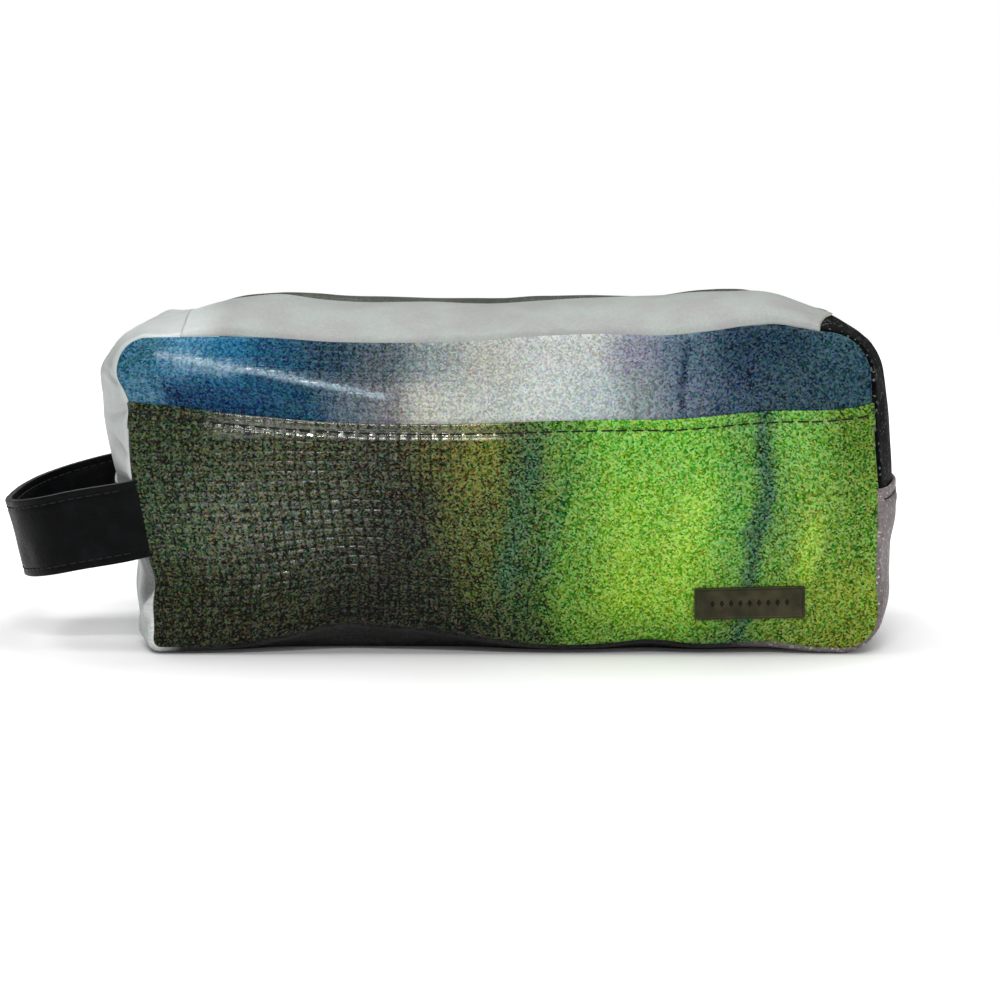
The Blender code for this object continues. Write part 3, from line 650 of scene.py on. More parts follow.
def print_row(p, place, stops):
    """One row of a print: a ramp of sRGB colours at places across the cloth."""
    ramp = p.node("ValToRGB", {0: place})
    ramp.color_ramp.interpolation = "EASE"
    elements = ramp.color_ramp.elements
    elements.remove(elements[1])
    for i, (where, *colour) in enumerate(stops):
        element = elements.new(where / MM_ACROSS + 0.5) if i else elements[0]
        element.position = where / MM_ACROSS + 0.5
        element.color = rgb(*colour)
    return ramp.outputs[0]


def printed(p, rows, wander):
    """A print of soft fields of colour: its rows blended upwards, and blurred by streaky noise."""
    place, across, along = p.cloth_mm()
    streaks = p.noise(place, 22, 3.0, (0.7, 2.2, 1))
    across = p.maths("ADD", across, p.scaled(streaks, 2 * wander, -wander))
    along = p.scaled(p.noise(place, 31, 2.0, (1.6, 0.8, 1)), 16.0, p.maths("SUBTRACT", along, 8.0))
    where = p.scaled(across, 1 / MM_ACROSS, 0.5)
    colour = print_row(p, where, rows[0][1])
    for (low, _), (high, stops) in zip(rows, rows[1:]):
        colour = p.mix(p.step(along, low, high), colour, print_row(p, where, stops))
    return colour


def halftone(p, colour, speckle, tint):
    """The dots of the print. Each is lighter or darker by up to `speckle`, and shifts each channel by up to
    `tint`, in step with the colour's square root, so that the dots look as strong on every shade."""
    place = p.cloth_mm()[0]
    dots = p.cells(place, 1 / DOT)
    light = p.red(p.cells(place, 0.93 / DOT))
    light = p.grey(p.scaled(light, 2 * speckle, -speckle))
    shift = p.vectors("SUBTRACT", dots, (0.5, 0.5, 0.5))
    shift = p.vectors("MULTIPLY_ADD", shift, tuple(2 * a for a in tint), light)
    root = p.node("Gamma", {0: colour, 1: 0.5}).outputs[0]
    dotted = p.vectors("MULTIPLY_ADD", root, shift, colour)
    return p.vectors("MAXIMUM", dotted, (0.002, 0.002, 0.002))


def scrim(p, depth, where=1.0):
    """The woven scrim under the skin: (height in millimetres, upper edges, slits). Pillows between narrow
    grooves show in patches and only where `where` is high, over fine threads and grain. The second field is 1
    along the upper edge of each pillow, and the third is 1 in the grooves."""
    place, across, along = p.cloth_mm()
    sway = p.scaled(p.noise(place, 14, 1.0), 1.2, -0.6)
    grooves, threads, turns = [], [], []
    for axis in (across, along):
        swayed = p.maths("ADD", axis, sway)
        grooves.append(p.step(p.maths("PINGPONG", swayed, SCRIM / 2), 0.0, 0.75))
        threads.append(p.maths("PINGPONG", axis, 0.45))
        turns.append(p.maths("FRACT", p.maths("DIVIDE", swayed, SCRIM)))
    pillow = p.times(grooves[0], grooves[1])
    patches = p.times(p.step(p.noise(place, 26, 2.0), 0.3, 0.62, 0.2, 1.0), where)
    fine = p.times(p.maths("ADD", threads[0], threads[1]), 0.035)
    grain = p.scaled(p.noise(place, 0.9, 2.0), 0.05, fine)
    height = p.scaled(p.times(pillow, patches), depth, grain)
    upper = p.times(p.step(turns[1], 0.55, 0.75), p.step(turns[1], 1.0, 0.9))
    slits = p.times(p.maths("SUBTRACT", 1.0, pillow), patches)
    return height, p.times(upper, grooves[0]), slits


def vinyl(name, colour_of, speckle, tint, rough=0.3, depth=0.09, shine=0.12, polish=None, where=None,
          shade=0.0):
    """Printed vinyl over scrim. where(p) gives a 0..1 field of where the scrim shows. polish(p, upper) gives
    one of where the cloth shines, from the scrim's upper edges. `shade` is how much painted shade darkens the
    grooves."""
    p = Paint(name)
    colour = halftone(p, colour_of(p), speckle, tint)
    worn = p.step(p.noise(p.cloth_mm()[0], 18, 4.0), 0.3, 0.75, rough - 0.05, rough + 0.1)
    height, upper, slits = scrim(p, depth, where(p) if where else 1.0)
    # painted shade in the scrim's grooves
    colour = p.vectors("MULTIPLY", colour, p.grey(p.scaled(slits, -shade, 1.0)))
    p.bump(height)
    gloss = shine
    if polish:
        lit = polish(p, upper)
        gloss = p.scaled(lit, 0.9, shine)
        worn = p.scaled(lit, -0.1, worn)
    return p.finish(Base_Color=colour, Roughness=worn, Specular_IOR_Level=gloss)


def blot(p, middle, reach, lumps=9.0):
    """A soft ellipse on the cloth with a ragged edge: 1 inside, 0 outside. Millimetres."""
    place = p.cloth_mm()[0]
    off = p.vectors("SUBTRACT", place, (middle[0], middle[1], 0))
    far = p.length(p.vectors("MULTIPLY", off, (1 / reach[0], 1 / reach[1], 0)))
    ragged = p.scaled(p.noise(place, lumps, 3.0), 0.9, p.maths("SUBTRACT", far, 0.45))
    return p.step(ragged, 1.1, 0.45)


def stroke(p, start, end, width, ragged):
    """A soft straight stroke on the cloth, tapered at both ends: 1 along its middle. Millimetres."""
    place, across, along = p.cloth_mm()
    wander = p.scaled(p.noise(place, 16, 3.0), 2 * ragged, -ragged)
    length = math.hypot(end[0] - start[0], end[1] - start[1])
    ux, uy = (end[0] - start[0]) / length, (end[1] - start[1]) / length
    dx, dy = p.maths("SUBTRACT", across, start[0]), p.maths("SUBTRACT", along, start[1])
    run = p.scaled(dx, ux, p.times(dy, uy))
    off = p.scaled(dx, -uy, p.scaled(dy, ux, wander))
    middle = p.step(p.maths("ABSOLUTE", off), width, 0.0)
    off_middle = p.maths("ABSOLUTE", p.maths("SUBTRACT", run, length / 2))
    ends = p.step(off_middle, length / 2, length / 2 - 2 * width)
    return p.times(middle, ends)


# rows of (height on the front, [(place across it, red, green, blue), ...])
LOWER_ROWS = [
    # the row at 4 is the print darkened by painted shade where the panel turns under, most from -52 to 8 and
    # at 76
    (4, [(-116, 34, 37, 21), (-76, 36, 39, 24), (-52, 28, 29, 21), (-14, 36, 39, 26), (8, 46, 62, 28),
         (26, 84, 118, 38), (56, 94, 132, 42), (76, 60, 92, 40), (92, 92, 118, 42), (114, 96, 114, 32)]),
    (20, [(-116, 42, 49, 26), (-76, 36, 42, 22), (-44, 31, 34, 22), (-24, 36, 42, 24), (-12, 58, 68, 28),
          (4, 48, 70, 31), (22, 84, 124, 38), (40, 122, 160, 46), (64, 118, 160, 48), (78, 88, 130, 50),
          (114, 102, 128, 36)]),
    # on the row at 46, the grey stops from -92 to -62 are partly print and partly a painted sheen
    (46, [(-116, 54, 68, 44), (-92, 72, 80, 62), (-62, 64, 72, 54), (-44, 44, 48, 36), (-30, 42, 46, 32),
          (-16, 74, 82, 38), (-2, 72, 84, 38), (10, 68, 92, 44), (24, 94, 136, 52), (42, 120, 164, 56),
          (66, 120, 168, 62), (76, 92, 144, 60), (92, 88, 126, 54), (104, 110, 146, 56),
          (116, 88, 122, 42)]),
    (74, [(-116, 50, 62, 38), (-70, 58, 64, 42), (-40, 58, 62, 46), (-22, 78, 82, 38), (-8, 98, 103, 38),
          (6, 68, 86, 42), (20, 84, 122, 50), (40, 104, 158, 58), (62, 108, 162, 60), (84, 88, 134, 58),
          (100, 98, 148, 60), (116, 78, 112, 30)]),
]
UPPER_ROWS = [
    (88, [(-118, 66, 108, 130), (-108, 14, 52, 84), (-86, 12, 58, 88), (-66, 24, 66, 88),
          (-52, 86, 100, 110), (-36, 114, 114, 118), (-26, 172, 174, 166), (-4, 168, 174, 168),
          (14, 178, 184, 181), (32, 166, 176, 176), (46, 120, 130, 132), (62, 84, 97, 111),
          (78, 54, 70, 86), (96, 41, 63, 74), (116, 36, 62, 73)]),
    # on the row at 101, the light stop at -106 is a painted glint
    (101, [(-118, 50, 98, 118), (-106, 72, 124, 154), (-92, 34, 98, 130), (-74, 22, 72, 98),
           (-56, 34, 60, 76), (-38, 76, 88, 94), (-22, 130, 140, 140), (-4, 162, 164, 157),
           (14, 174, 179, 176), (30, 172, 177, 173), (44, 126, 128, 142), (62, 76, 95, 109),
           (80, 30, 54, 70), (98, 28, 53, 66), (116, 42, 70, 80)]),
]


def streaked(p, colour, paint, ragged, strokes):
    """Strokes of one more colour over a print: each is (start, end, width, strength)."""
    for start, end, width, strength in strokes:
        share = p.times(stroke(p, start, end, width, ragged), strength)
        colour = p.mix(share, colour, rgb(*paint))
    return colour


def lower_print_with_painted_light(p):
    """Olive on the left and green on the right, with teal and yellow-green streaks. Its rows hold painted
    shade along the bottom and a painted sheen on the left.
    """
    colour = printed(p, LOWER_ROWS, 5)
    teal = [((91, 92), (80, -4), 6, 0.9), ((92, 60), (80, 34), 4, 0.6),
            ((13, 82), (-4, 14), 7, 0.7), ((24, 66), (10, 24), 5, 0.45)]
    colour = streaked(p, colour, (46, 82, 56), 5, teal)
    yellow = [((70, 66), (52, 14), 8, 0.35), ((108, 52), (98, 20), 6, 0.5)]
    return streaked(p, colour, (150, 186, 62), 5, yellow)


def upper_print_with_painted_glints(p):
    """Blue, pale grey in the middle, with two painted glints in pale blue along the crease and two dark
    streaks.
    """
    colour = printed(p, UPPER_ROWS, 4)
    # painted highlights: pale strokes along the crease at the top left
    pale = [((-116, 103), (-36, 89), 1.9, 0.55), ((-112, 100), (-84, 96), 4, 0.3)]
    colour = streaked(p, colour, (168, 190, 204), 1.2, pale)
    dark = [((63, 108), (61, 80), 2.6, 0.7), ((86, 104), (82, 82), 5, 0.4)]
    return streaked(p, colour, (26, 42, 64), 2, dark)


def gusset_print_with_painted_shade(p):
    """White up the left end, with painted shade in grey above its slanting crease towards the front; near
    black painted shade under the bag; and taupe with flecks up the right end."""
    across, along = p.cloth_mm()[1:]
    right = flecked((100, 92, 92), (118, 110, 110), (176, 170, 170), 0.14)(p)
    # painted shade: near black where the bottom lies under the bag, away from the light
    under = flat_print((28, 28, 27), (38, 38, 37))(p)
    # painted shade in grey above the crease low on the left end, fading out towards the back
    height = p.maths("SUBTRACT", s_left(0) / MM, across)
    above = p.step(p.scaled(along, 0.5, height), -5, -2)
    grey = p.times(above, p.step(along, -28, -44, 0.0, 0.9))
    left = p.mix(grey, flat_print((186, 190, 188), (206, 210, 208), 12)(p), rgb(98, 100, 100))
    corner = S_BOTTOM / MM
    colour = p.mix(p.step(across, corner - 4, corner + 8), left, under)
    return p.mix(p.step(across, S_ALL / MM + 76, S_ALL / MM + 96), colour, right)


def flat_print(low, high, size=30):
    """Two near shades in soft patches."""
    def colour_of(p):
        patches = p.noise(p.cloth_mm()[0], size, 3.0)
        return p.mix(p.step(patches, 0.35, 0.65), rgb(*low), rgb(*high))

    return colour_of


def top_print(p):
    """Light grey that pales towards the left end."""
    grey = flat_print((148, 149, 148), (152, 158, 153), 16)(p)
    return p.mix(p.step(p.cloth_mm()[1], -106, -90), rgb(186, 192, 190), grey)


def flecked(low, high, fleck, share):
    """A dark print with pale flecks on a share of its cells."""
    def colour_of(p):
        base = flat_print(low, high)(p)
        pick = p.red(p.cells(p.cloth_mm()[0], 1.5))
        return p.mix(p.step(pick, 1 - share, 1 - share / 2), base, rgb(*fleck))

    return colour_of


def woven(name, low, high, pitch, rough=0.8, depth=0.12):
    """Plain weave: threads over and under each other, with a little dust."""
    p = Paint(name)
    place, across, along = p.cloth_mm()
    a = p.maths("SINE", p.times(across, math.pi / pitch))
    b = p.maths("SINE", p.times(along, math.pi / pitch))
    over = p.scaled(p.times(a, b), 0.5, 0.5)
    p.bump(p.times(over, depth))
    tone = p.mix(over, rgb(*low), rgb(*high))
    dust = p.step(p.noise(place, 9, 4.0), 0.45, 0.8, 1.0, 1.25)
    tone = p.mix(1.0, tone, p.grey(dust), "MULTIPLY")
    return p.finish(Base_Color=tone, Roughness=rough, Specular_IOR_Level=0.2, Sheen_Weight=0.1)


def leather():
    p = Paint("black_leather")
    place = p.object_mm()
    pebbles = p.node("TexVoronoi", {"Vector": place, "Scale": 1 / 0.85}, feature="SMOOTH_F1")
    fine = p.noise(place, 0.5, 3.0)
    pull = p.noise(place, 7, 3.0)
    height = p.scaled(pebbles.outputs["Distance"], 0.11, p.times(fine, 0.05))
    p.bump(p.scaled(pull, 0.25, height))
    tone = p.mix(p.step(pull, 0.35, 0.7), rgb(4, 5, 6), rgb(12, 13, 15))
    return p.finish(Base_Color=tone, Roughness=p.step(fine, 0.3, 0.7, 0.36, 0.52), Specular_IOR_Level=0.07)


def edge_paint():
    p = Paint("leather_edge_paint")
    place = p.object_mm()
    p.bump(p.times(p.noise(place, 2.2, 3.0), 0.12))
    tone = p.mix(p.step(p.noise(place, 5, 3.0), 0.4, 0.7), rgb(20, 20, 21), rgb(38, 38, 38))
    return p.finish(Base_Color=tone, Roughness=0.34, Specular_IOR_Level=0.3)


def thread(name, colour):
    """Bonded twisted thread."""
    p = Paint(name)
    place = p.object_mm()
    twist = p.node("TexWave", {"Vector": place, "Scale": 1.1, "Distortion": 0.6}, bands_direction="DIAGONAL")
    p.bump(p.times(twist.outputs["Fac"], 0.08))
    tone = p.mix(twist.outputs["Fac"], rgb(*colour), rgb(*(min(255, c + 22) for c in colour)))
    return p.finish(Base_Color=tone, Roughness=0.55, Specular_IOR_Level=0.2)


def metal(name, low, high, rough, brush=(14, 0.35, 0.35)):
    """Plated metal, brushed along X, with darker wear in patches."""
    p = Paint(name)
    place = p.object_mm()
    lines = p.noise(place, 1.0, 3.0, brush)
    patches = p.noise(place, 6, 4.0)
    p.bump(p.times(lines, 0.02))
    tone = p.mix(p.step(patches, 0.35, 0.7), rgb(*low), rgb(*high))
    worn = p.step(lines, 0.3, 0.7, rough - 0.06, rough + 0.08)
    return p.finish(Base_Color=tone, Metallic=0.9, Roughness=worn)


def nylon():
    p = Paint("nylon_coil")
    place = p.object_mm()
    tone = p.mix(p.noise(place, 1.2, 2.0), rgb(16, 16, 17), rgb(30, 30, 31))
    p.bump(p.times(p.noise(place, 0.5, 2.0), 0.03))
    return p.finish(Base_Color=tone, Roughness=0.4)


def vinyl_core():
    """The raw cut edge of the vinyl: pale film with scrim ends."""
    p = Paint("vinyl_cut_edge")
    place = p.object_mm()
    ends = p.step(p.noise(place, 1.1, 2.0), 0.45, 0.6)
    tone = p.mix(ends, rgb(226, 226, 190), rgb(196, 196, 150))
    p.bump(p.times(ends, 0.05))
    return p.finish(Base_Color=tone, Roughness=0.6)


def broken(p, upper):
    """The upper edges of the pillows, here and there only."""
    return p.times(upper, p.step(p.noise(p.cloth_mm()[0], 2.2, 2.0), 0.4, 0.58))


def green_shine(p, upper):
    """A patch on the left, and the hem where its fold and the stitches' groove face the light."""
    across, along = p.cloth_mm()[1:]
    patch = p.times(blot(p, (-80, 46), (42, 34)), broken(p, upper))
    middle = p.step(p.maths("ABSOLUTE", p.maths("ADD", across, 50)), 54, 38)
    return p.maths("MAXIMUM", patch, p.times(p.step(along, 73.5, 75.5), middle))


def blue_shine(p, upper):
    """A slanting streak of light at the top left."""
    return p.times(stroke(p, (-118, 104), (-34, 88), 3.5, 1.5), p.maths("MAXIMUM", broken(p, upper), 0.25))


def left_scrim(p):
    """The scrim shows on the left, and hardly on the right."""
    return p.step(p.cloth_mm()[1], 0, -26, 0.14, 1.0)


def olive_print_with_painted_light(p):
    # the same rows as the front's lower panel, so painted shade along the bottom and a painted sheen on the
    # left too
    return printed(p, LOWER_ROWS[:3], 22)


GREEN = vinyl("green_print_vinyl", lower_print_with_painted_light, 0.36, (0.19, 0.1, 0.19), depth=0.3, shine=0.08,
              polish=green_shine, where=left_scrim, shade=0.6)
BLUE = vinyl("blue_print_vinyl", upper_print_with_painted_glints, 0.22, (0.1, 0.08, 0.1), depth=0.16, shine=0.08,
             polish=blue_shine, where=left_scrim, shade=0.25)
OLIVE = vinyl("olive_print_vinyl", olive_print_with_painted_light, 0.28, (0.12, 0.05, 0.1), rough=0.34, depth=0.14)
DARK_STRIP = vinyl("olive_strip_vinyl", flat_print((50, 54, 47), (66, 70, 62)), 0.12, (0.04, 0.04, 0.04),
                   rough=0.4)
WHITE = vinyl("white_vinyl", flat_print((182, 188, 186), (196, 200, 198)), 0.02, (0, 0, 0.01), rough=0.34,
              depth=0.04, shine=0.3)
GREY = vinyl("grey_print_vinyl", top_print, 0.03, (0, 0.01, 0), rough=0.42, depth=0.03, shine=0.15)
BLACK = vinyl("black_print_vinyl", flecked((5, 7, 8), (11, 13, 12), (88, 92, 90), 0.08), 0.08,
              (0.02, 0.02, 0.02), rough=0.5, depth=0.05, shine=0.01)
TAUPE = vinyl("taupe_print_vinyl", gusset_print_with_painted_shade, 0.1, (0.02, 0.02, 0.02), rough=0.45, depth=0.05, shine=0.1)
CUT_EDGE = vinyl_core()
CLOTH = woven("lining_cloth", (20, 20, 22), (34, 34, 37), 0.7)
BINDING = woven("binding_tape", (12, 12, 12), (26, 26, 26), 1.1)
THREAD = thread("black_thread", (12, 12, 12))
LEATHER = leather()
EDGE_PAINT = edge_paint()
GUNMETAL = metal("gunmetal", (48, 46, 34), (66, 62, 46), 0.34)
MARKS = metal("gunmetal_marks", (26, 25, 21), (34, 32, 27), 0.3)
STEEL = metal("plated_steel", (150, 150, 150), (178, 178, 178), 0.38)
NYLON = nylon()


# ---- folds and laps ----

FOLD = 0.62 * MM  # radius of a folded edge
LEAF = 9 * MM  # how far a fold's inner leaf runs back
HEM_LIFT = 2 * FOLD + 0.1 * MM
HEM_PITCH = 5.2 * MM
HEM_GAP = 0.14  # share of the pitch between two stitches
FINE_PITCH = 3.2 * MM
LIP_STITCH_INSET = 2.8 * MM
LAP = 12 * MM  # how far a lapped panel runs on under the other
INSIDE = 2.9 * MM  # depth of the lining under the outer face
LINING_INSET = 4 * MM  # from the outline to a lining's edge
LINING = 0.5 * MM


def hem_lift(below, run):
    """How proud a lapped hem stands, `below` its fold and `run` along it. The stitches pull a groove into it,
    and the scrim's pillows bulge below the groove."""
    stand = HEM_LIFT * smooth(22 * MM, 11 * MM, below)
    pull = 0.4 * MM + 0.25 * MM * np.cos(2 * np.pi * run / HEM_PITCH)
    groove = pull * bell(below - STITCH_INSET, MM)
    puff = 0.3 * MM + 0.12 * MM * np.cos(2 * np.pi * run / (SCRIM * MM))
    puff = puff * bell(below - 6.2 * MM, 1.7 * MM)
    return stand + (puff - groove) * smooth(30 * MM, 12 * MM, below)


def fold_rows(length, rows):
    """Rows from a cloth's far edge up to its fold and round it: (distances below the fold, depths behind)."""
    main = FOLD + (length - FOLD) * (1 - crowd(0, 1, rows))
    turn = np.linspace(0, np.pi, 9)[1:]
    back_leaf = np.linspace(FOLD, LEAF, 8)[1:]
    below = np.concatenate([main, FOLD - FOLD * np.sin(turn), back_leaf])
    behind = np.concatenate([0 * main, FOLD - FOLD * np.cos(turn), 0 * back_leaf + 2 * FOLD])
    return below, behind


def lap_height(x):
    return FRONT_LAP + LAP_WAVE(x)


def lower_front(x, below, behind=0.0):
    """The lower front panel: `below` is the distance down from its folded top edge."""
    return front(x, lap_height(x) - below, behind - hem_lift(below, x))


def side_lap(side, below, y, behind=0.0):
    """The lower gusset near its fold on the left (-1) or the right (1)."""
    s = s_right(LAP_SIDE) - below if side > 0 else s_left(LAP_SIDE) + below
    return gusset(s, y, behind - hem_lift(below, y))


def strip_end(y):
    """Where a strip ends towards +X, which leans outwards from the front seam."""
    return STRIP_END + 7 * MM * smooth(-DEEP - 12 * MM, -12 * MM, y)


def strip_lift(x, below):
    """The strips stand proud where they lap the end panels and where their lip folds over the zip's tape."""
    lap = 0.8 * MM * smooth(78 * MM, 94 * MM, np.abs(x))
    lip = MM * smooth(12 * MM, 3 * MM, below)
    pull = 0.3 * MM * bell(below - LIP_STITCH_INSET, 0.9 * MM)
    return np.maximum(lap, lip) - pull


def strip(side, x, below, behind=0.0):
    """A top strip, -1 at the front: `below` is the distance from its lip towards the seam."""
    return gusset(s_top(x), side * (LIP + below), behind - strip_lift(x, below))


# ---- placing pieces ----

MOUTH = (-76 * MM, 88 * MM)  # the stretch of the top that opens


def settle(obj, *nodes):
    """Hide the CAD nodes that a piece takes the place of."""
    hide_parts(*nodes)


def ride(obj, *nodes):
    """Hold a piece still with the bag."""
    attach(obj, "bag")
    settle(obj, *nodes)


def ride_strip(obj, side, *nodes):
    """Bend a top piece up with its half of the zip: most at the mouth's middle, nothing at its two ends."""
    body = "top_front" if side < 0 else "top_back"
    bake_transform(obj, "bag", body, start=(0, side * DEEP, 0), end=(0, side * (DEEP - 12 * MM), 0))
    count = len(obj.data.vertices)
    weights = np.zeros(count, np.float32)
    places = np.zeros(3 * count, np.float32)
    attribute = obj.data.attributes["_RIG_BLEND"].data
    attribute.foreach_get("value", weights)
    obj.data.vertices.foreach_get("co", places)
    t = np.clip((places[0::3] - MOUTH[0]) / (MOUTH[1] - MOUTH[0]), 0, 1)
    lens = (4 * t * (1 - t)) ** 0.7
    attribute.foreach_set("value", (weights * lens).astype(np.float32))
    settle(obj, *nodes)


def ride_handle(obj, *nodes):
    """Bend a piece of the loop between its sewn ends, which stay with the bag, and its free part."""
    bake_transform(obj, "bag", "handle", start=(-HALF - MM, 0, 0), end=(-HALF - 34 * MM, 0, 0))
    settle(obj, *nodes)


# ---- the bag's panels ----

def front_panels():
    upper = face_sheet("front_upper_skin", front, lambda x: lap_height(x) - LAP, outline_top, BLUE)
    ride(upper, "front_upper_panel")

    columns = []
    for x in crowd(-HALF + EDGE, HALF - EDGE, 280):
        below, behind = fold_rows(float(lap_height(x) - outline_bottom(x)), 105)
        columns.append(np.stack([np.full_like(below, x), below, behind], -1))
    x, below, behind = np.moveaxis(np.array(columns), -1, 0)
    uv = np.stack([x, lap_height(x) - below], -1)
    lower = sheet("front_lower_skin", lower_front(x, below, behind), uv, GREEN)
    ride(lower, "front_lower_panel")

    x = np.linspace(-HALF + 1.2 * MM, HALF - 1.2 * MM, 700)
    path, normal = line_on(lower_front, x, np.full_like(x, STITCH_INSET), -1)
    row = stitches("front_hem_stitches", path, normal, HEM_PITCH, gap=HEM_GAP)
    ride(row, "front_topstitching")


def back_panel():
    panel = face_sheet("back_skin", back, outline_bottom, outline_top, OLIVE, rows=110)
    ride(panel, "back_panel")


def end_panels():
    y = crowd(-EDGE_Y, EDGE_Y, 90)
    foot = LAP_SIDE - LAP
    top = STRIP_END - 13 * MM
    for word, start, end, finish in (("left", s_left(foot), s_top(-top), WHITE),
                                     ("right", s_top(top), s_right(foot), BLACK)):
        panel = gusset_sheet(f"{word}_end_skin", *grid(np.linspace(start, end, 150), y), finish)
        ride(panel, f"{word}_end_panel")


def lower_gusset():
    """One cloth up the left end, under the bottom and up the right end, folded at both of its tops."""
    y = crowd(-EDGE_Y, EDGE_Y, 80)[None, :]
    start, end = s_left(LAP_SIDE), s_right(LAP_SIDE) + S_ALL
    below, behind = fold_rows((end - start) / 2, 190)
    s = np.concatenate([end - below[::-1], start + below[1:]])
    below = np.concatenate([below[::-1], below[1:]])
    behind = np.concatenate([behind[::-1], behind[1:]])
    s, below, behind = s[:, None], below[:, None], behind[:, None]
    near_seam = smooth(DEEP - 9 * MM, DEEP - MM, np.abs(y))
    inset = behind - hem_lift(below, y) * (1 - 0.5 * near_seam)
    panel = gusset_sheet("lower_gusset_skin", s, y, TAUPE, inset)
    ride(panel, "lower_gusset")


def lap_stitching():
    y = np.linspace(-DEEP + 2 * MM, DEEP - 2 * MM, 260)
    for word, side in (("left", -1), ("right", 1)):
        def surface(below, y, side=side):
            return side_lap(side, below, y)

        path, normal = line_on(surface, np.full_like(y, STITCH_INSET), y, side)
        row = stitches(f"{word}_lap_stitches", path, normal, HEM_PITCH, gap=HEM_GAP, seed=4 + side)
        ride(row, f"{word}_end_topstitching")


def strip_skin(side, word, finish):
    below, behind = fold_rows(EDGE_Y - LIP, 70)
    below, behind = below[None, :], behind[None, :]
    y = side * (LIP + below)
    x = -STRIP_END + np.linspace(0, 1, 230)[:, None] * (STRIP_END + strip_end(y))
    points = strip(side, x, below, behind)
    uv = np.stack(np.broadcast_arrays(x, y), -1)
    if side > 0:
        points, uv = points[::-1], uv[::-1]
    skin = sheet(f"top_{word}_skin", points, uv, finish, edge=CUT_EDGE)
    ride_strip(skin, side, f"top_{word}_strip")


def strip_stitching(side, word):
    def surface(x, below):
        return strip(side, x, below)

    x = np.linspace(-STRIP_END + 2 * MM, STRIP_END - 2 * MM, 600)
    path, normal = line_on(surface, x, np.full_like(x, LIP_STITCH_INSET), side)
    row = stitches(f"top_{word}_stitches", path, normal, FINE_PITCH, 0.22 * MM, seed=8 + side)
    ride_strip(row, side, f"top_{word}_topstitching")


def zip_tape(side, word):
    """The tape lies higher between the coils than under the strip."""
    y = np.linspace(MM, LIP + 12 * MM, 26)
    inset = 1.3 * MM + 1.4 * MM * smooth(LIP, LIP + 5 * MM, y)
    if side < 0:
        y, inset = y[::-1], inset[::-1]
    s, y = grid(s_top(np.linspace(-98 * MM, 98 * MM, 150)), side * y)
    tape = gusset_sheet(f"zip_tape_{word}_cloth", s, y, BINDING, inset[None, :], thickness=0.5 * MM)
    ride_strip(tape, side, f"zip_tape_{word}")


def strip_lining(side, word):
    y = np.sort(side * np.linspace(LIP + 1.5 * MM, DEEP - 5 * MM, 30))
    s, y = grid(s_top(np.linspace(-96 * MM, 96 * MM, 90)), y)
    lining = gusset_sheet(f"top_{word}_lining_cloth", s, y, CLOTH, 4.2 * MM, thickness=LINING)
    ride_strip(lining, side, f"top_{word}_lining")


def top_halves():
    for side, word, finish in ((-1, "front", GREY), (1, "back", DARK_STRIP)):
        strip_skin(side, word, finish)
        strip_stitching(side, word)
        zip_tape(side, word)
        strip_lining(side, word)
        coil(side, word)


def coil(side, word):
    """A wound nylon coil on the edge of its tape. The two coils' turns lie between each other's."""
    pitch, radius, wire = 1.25 * MM, 1.2 * MM, 0.3 * MM
    low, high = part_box(f"zip_coil_{word}")
    turns = (high.x - low.x) / pitch
    a = np.linspace(0, 2 * np.pi * turns, int(turns * 12))
    x = low.x + pitch * a / (2 * np.pi) + (pitch / 2 if side > 0 else 0)
    y = side * (radius + wire / 2 + radius * np.cos(a))
    z = ZIP_Z + 0.8 * radius * np.sin(a)
    item = (np.stack([x, y, z], -1), np.array([1.0, 0, 0]), wire, 6)
    ride_strip(tubes(f"zip_coil_{word}_wound", [item], NYLON), side, f"zip_coil_{word}")


def linings():
    for word, surface in (("front", front), ("back", back)):
        lining = face_sheet(f"{word}_lining_cloth", surface, lambda x: outline_bottom(x, LINING_INSET),
                            lambda x: outline_top(x, LINING_INSET), CLOTH, rows=40, side=HALF - LINING_INSET,
                            depth=INSIDE, thickness=LINING)
        ride(lining, f"{word}_lining")
    s = np.linspace(S_ALL + s_top(STRIP_END - 20 * MM), s_top(20 * MM - STRIP_END), 260)
    y = np.linspace(LINING_INSET - DEEP, DEEP - LINING_INSET, 44)
    lining = gusset_sheet("gusset_lining_cloth", *grid(s, y), CLOTH, INSIDE, thickness=LINING)
    ride(lining, "gusset_lining")


def seam_bindings():
    """Tape folded over the seams' raw edges, inside."""
    s = np.linspace(S_ALL, 0, 360)[:, None]
    turn = np.linspace(-np.pi / 2, np.pi / 2, 7)
    half = 0.8 * MM
    leg = np.array([2.8 * MM, 3.3 * MM])
    inset = np.concatenate([leg, 4 * MM + half * np.cos(turn), leg[::-1]])
    across = np.concatenate([[-half, -half], half * np.sin(turn), [half, half]])
    for word, side in (("front", -1), ("back", 1)):
        y = side * (DEEP - 3.4 * MM + across)
        ss, yy, ii = np.broadcast_arrays(s if side < 0 else s[::-1], y[None, :], inset[None, :])
        points = gusset(ss, yy, ii, rolled=False)
        tape = sheet(f"{word}_seam_tape", points, np.stack([ss, ii], -1), BINDING, 0.4 * MM)
        ride(tape, f"{word}_seam_binding")


# ---- plate, loop and metal ----

PLATE_WIDTH = 37.4 * MM
PLATE_HEIGHT = 11 * MM
PLATE_THICK = 1.3 * MM
PLATE_RIM = 0.9 * MM
PLATE_SUNK = 0.3 * MM  # how far the field lies under the rim


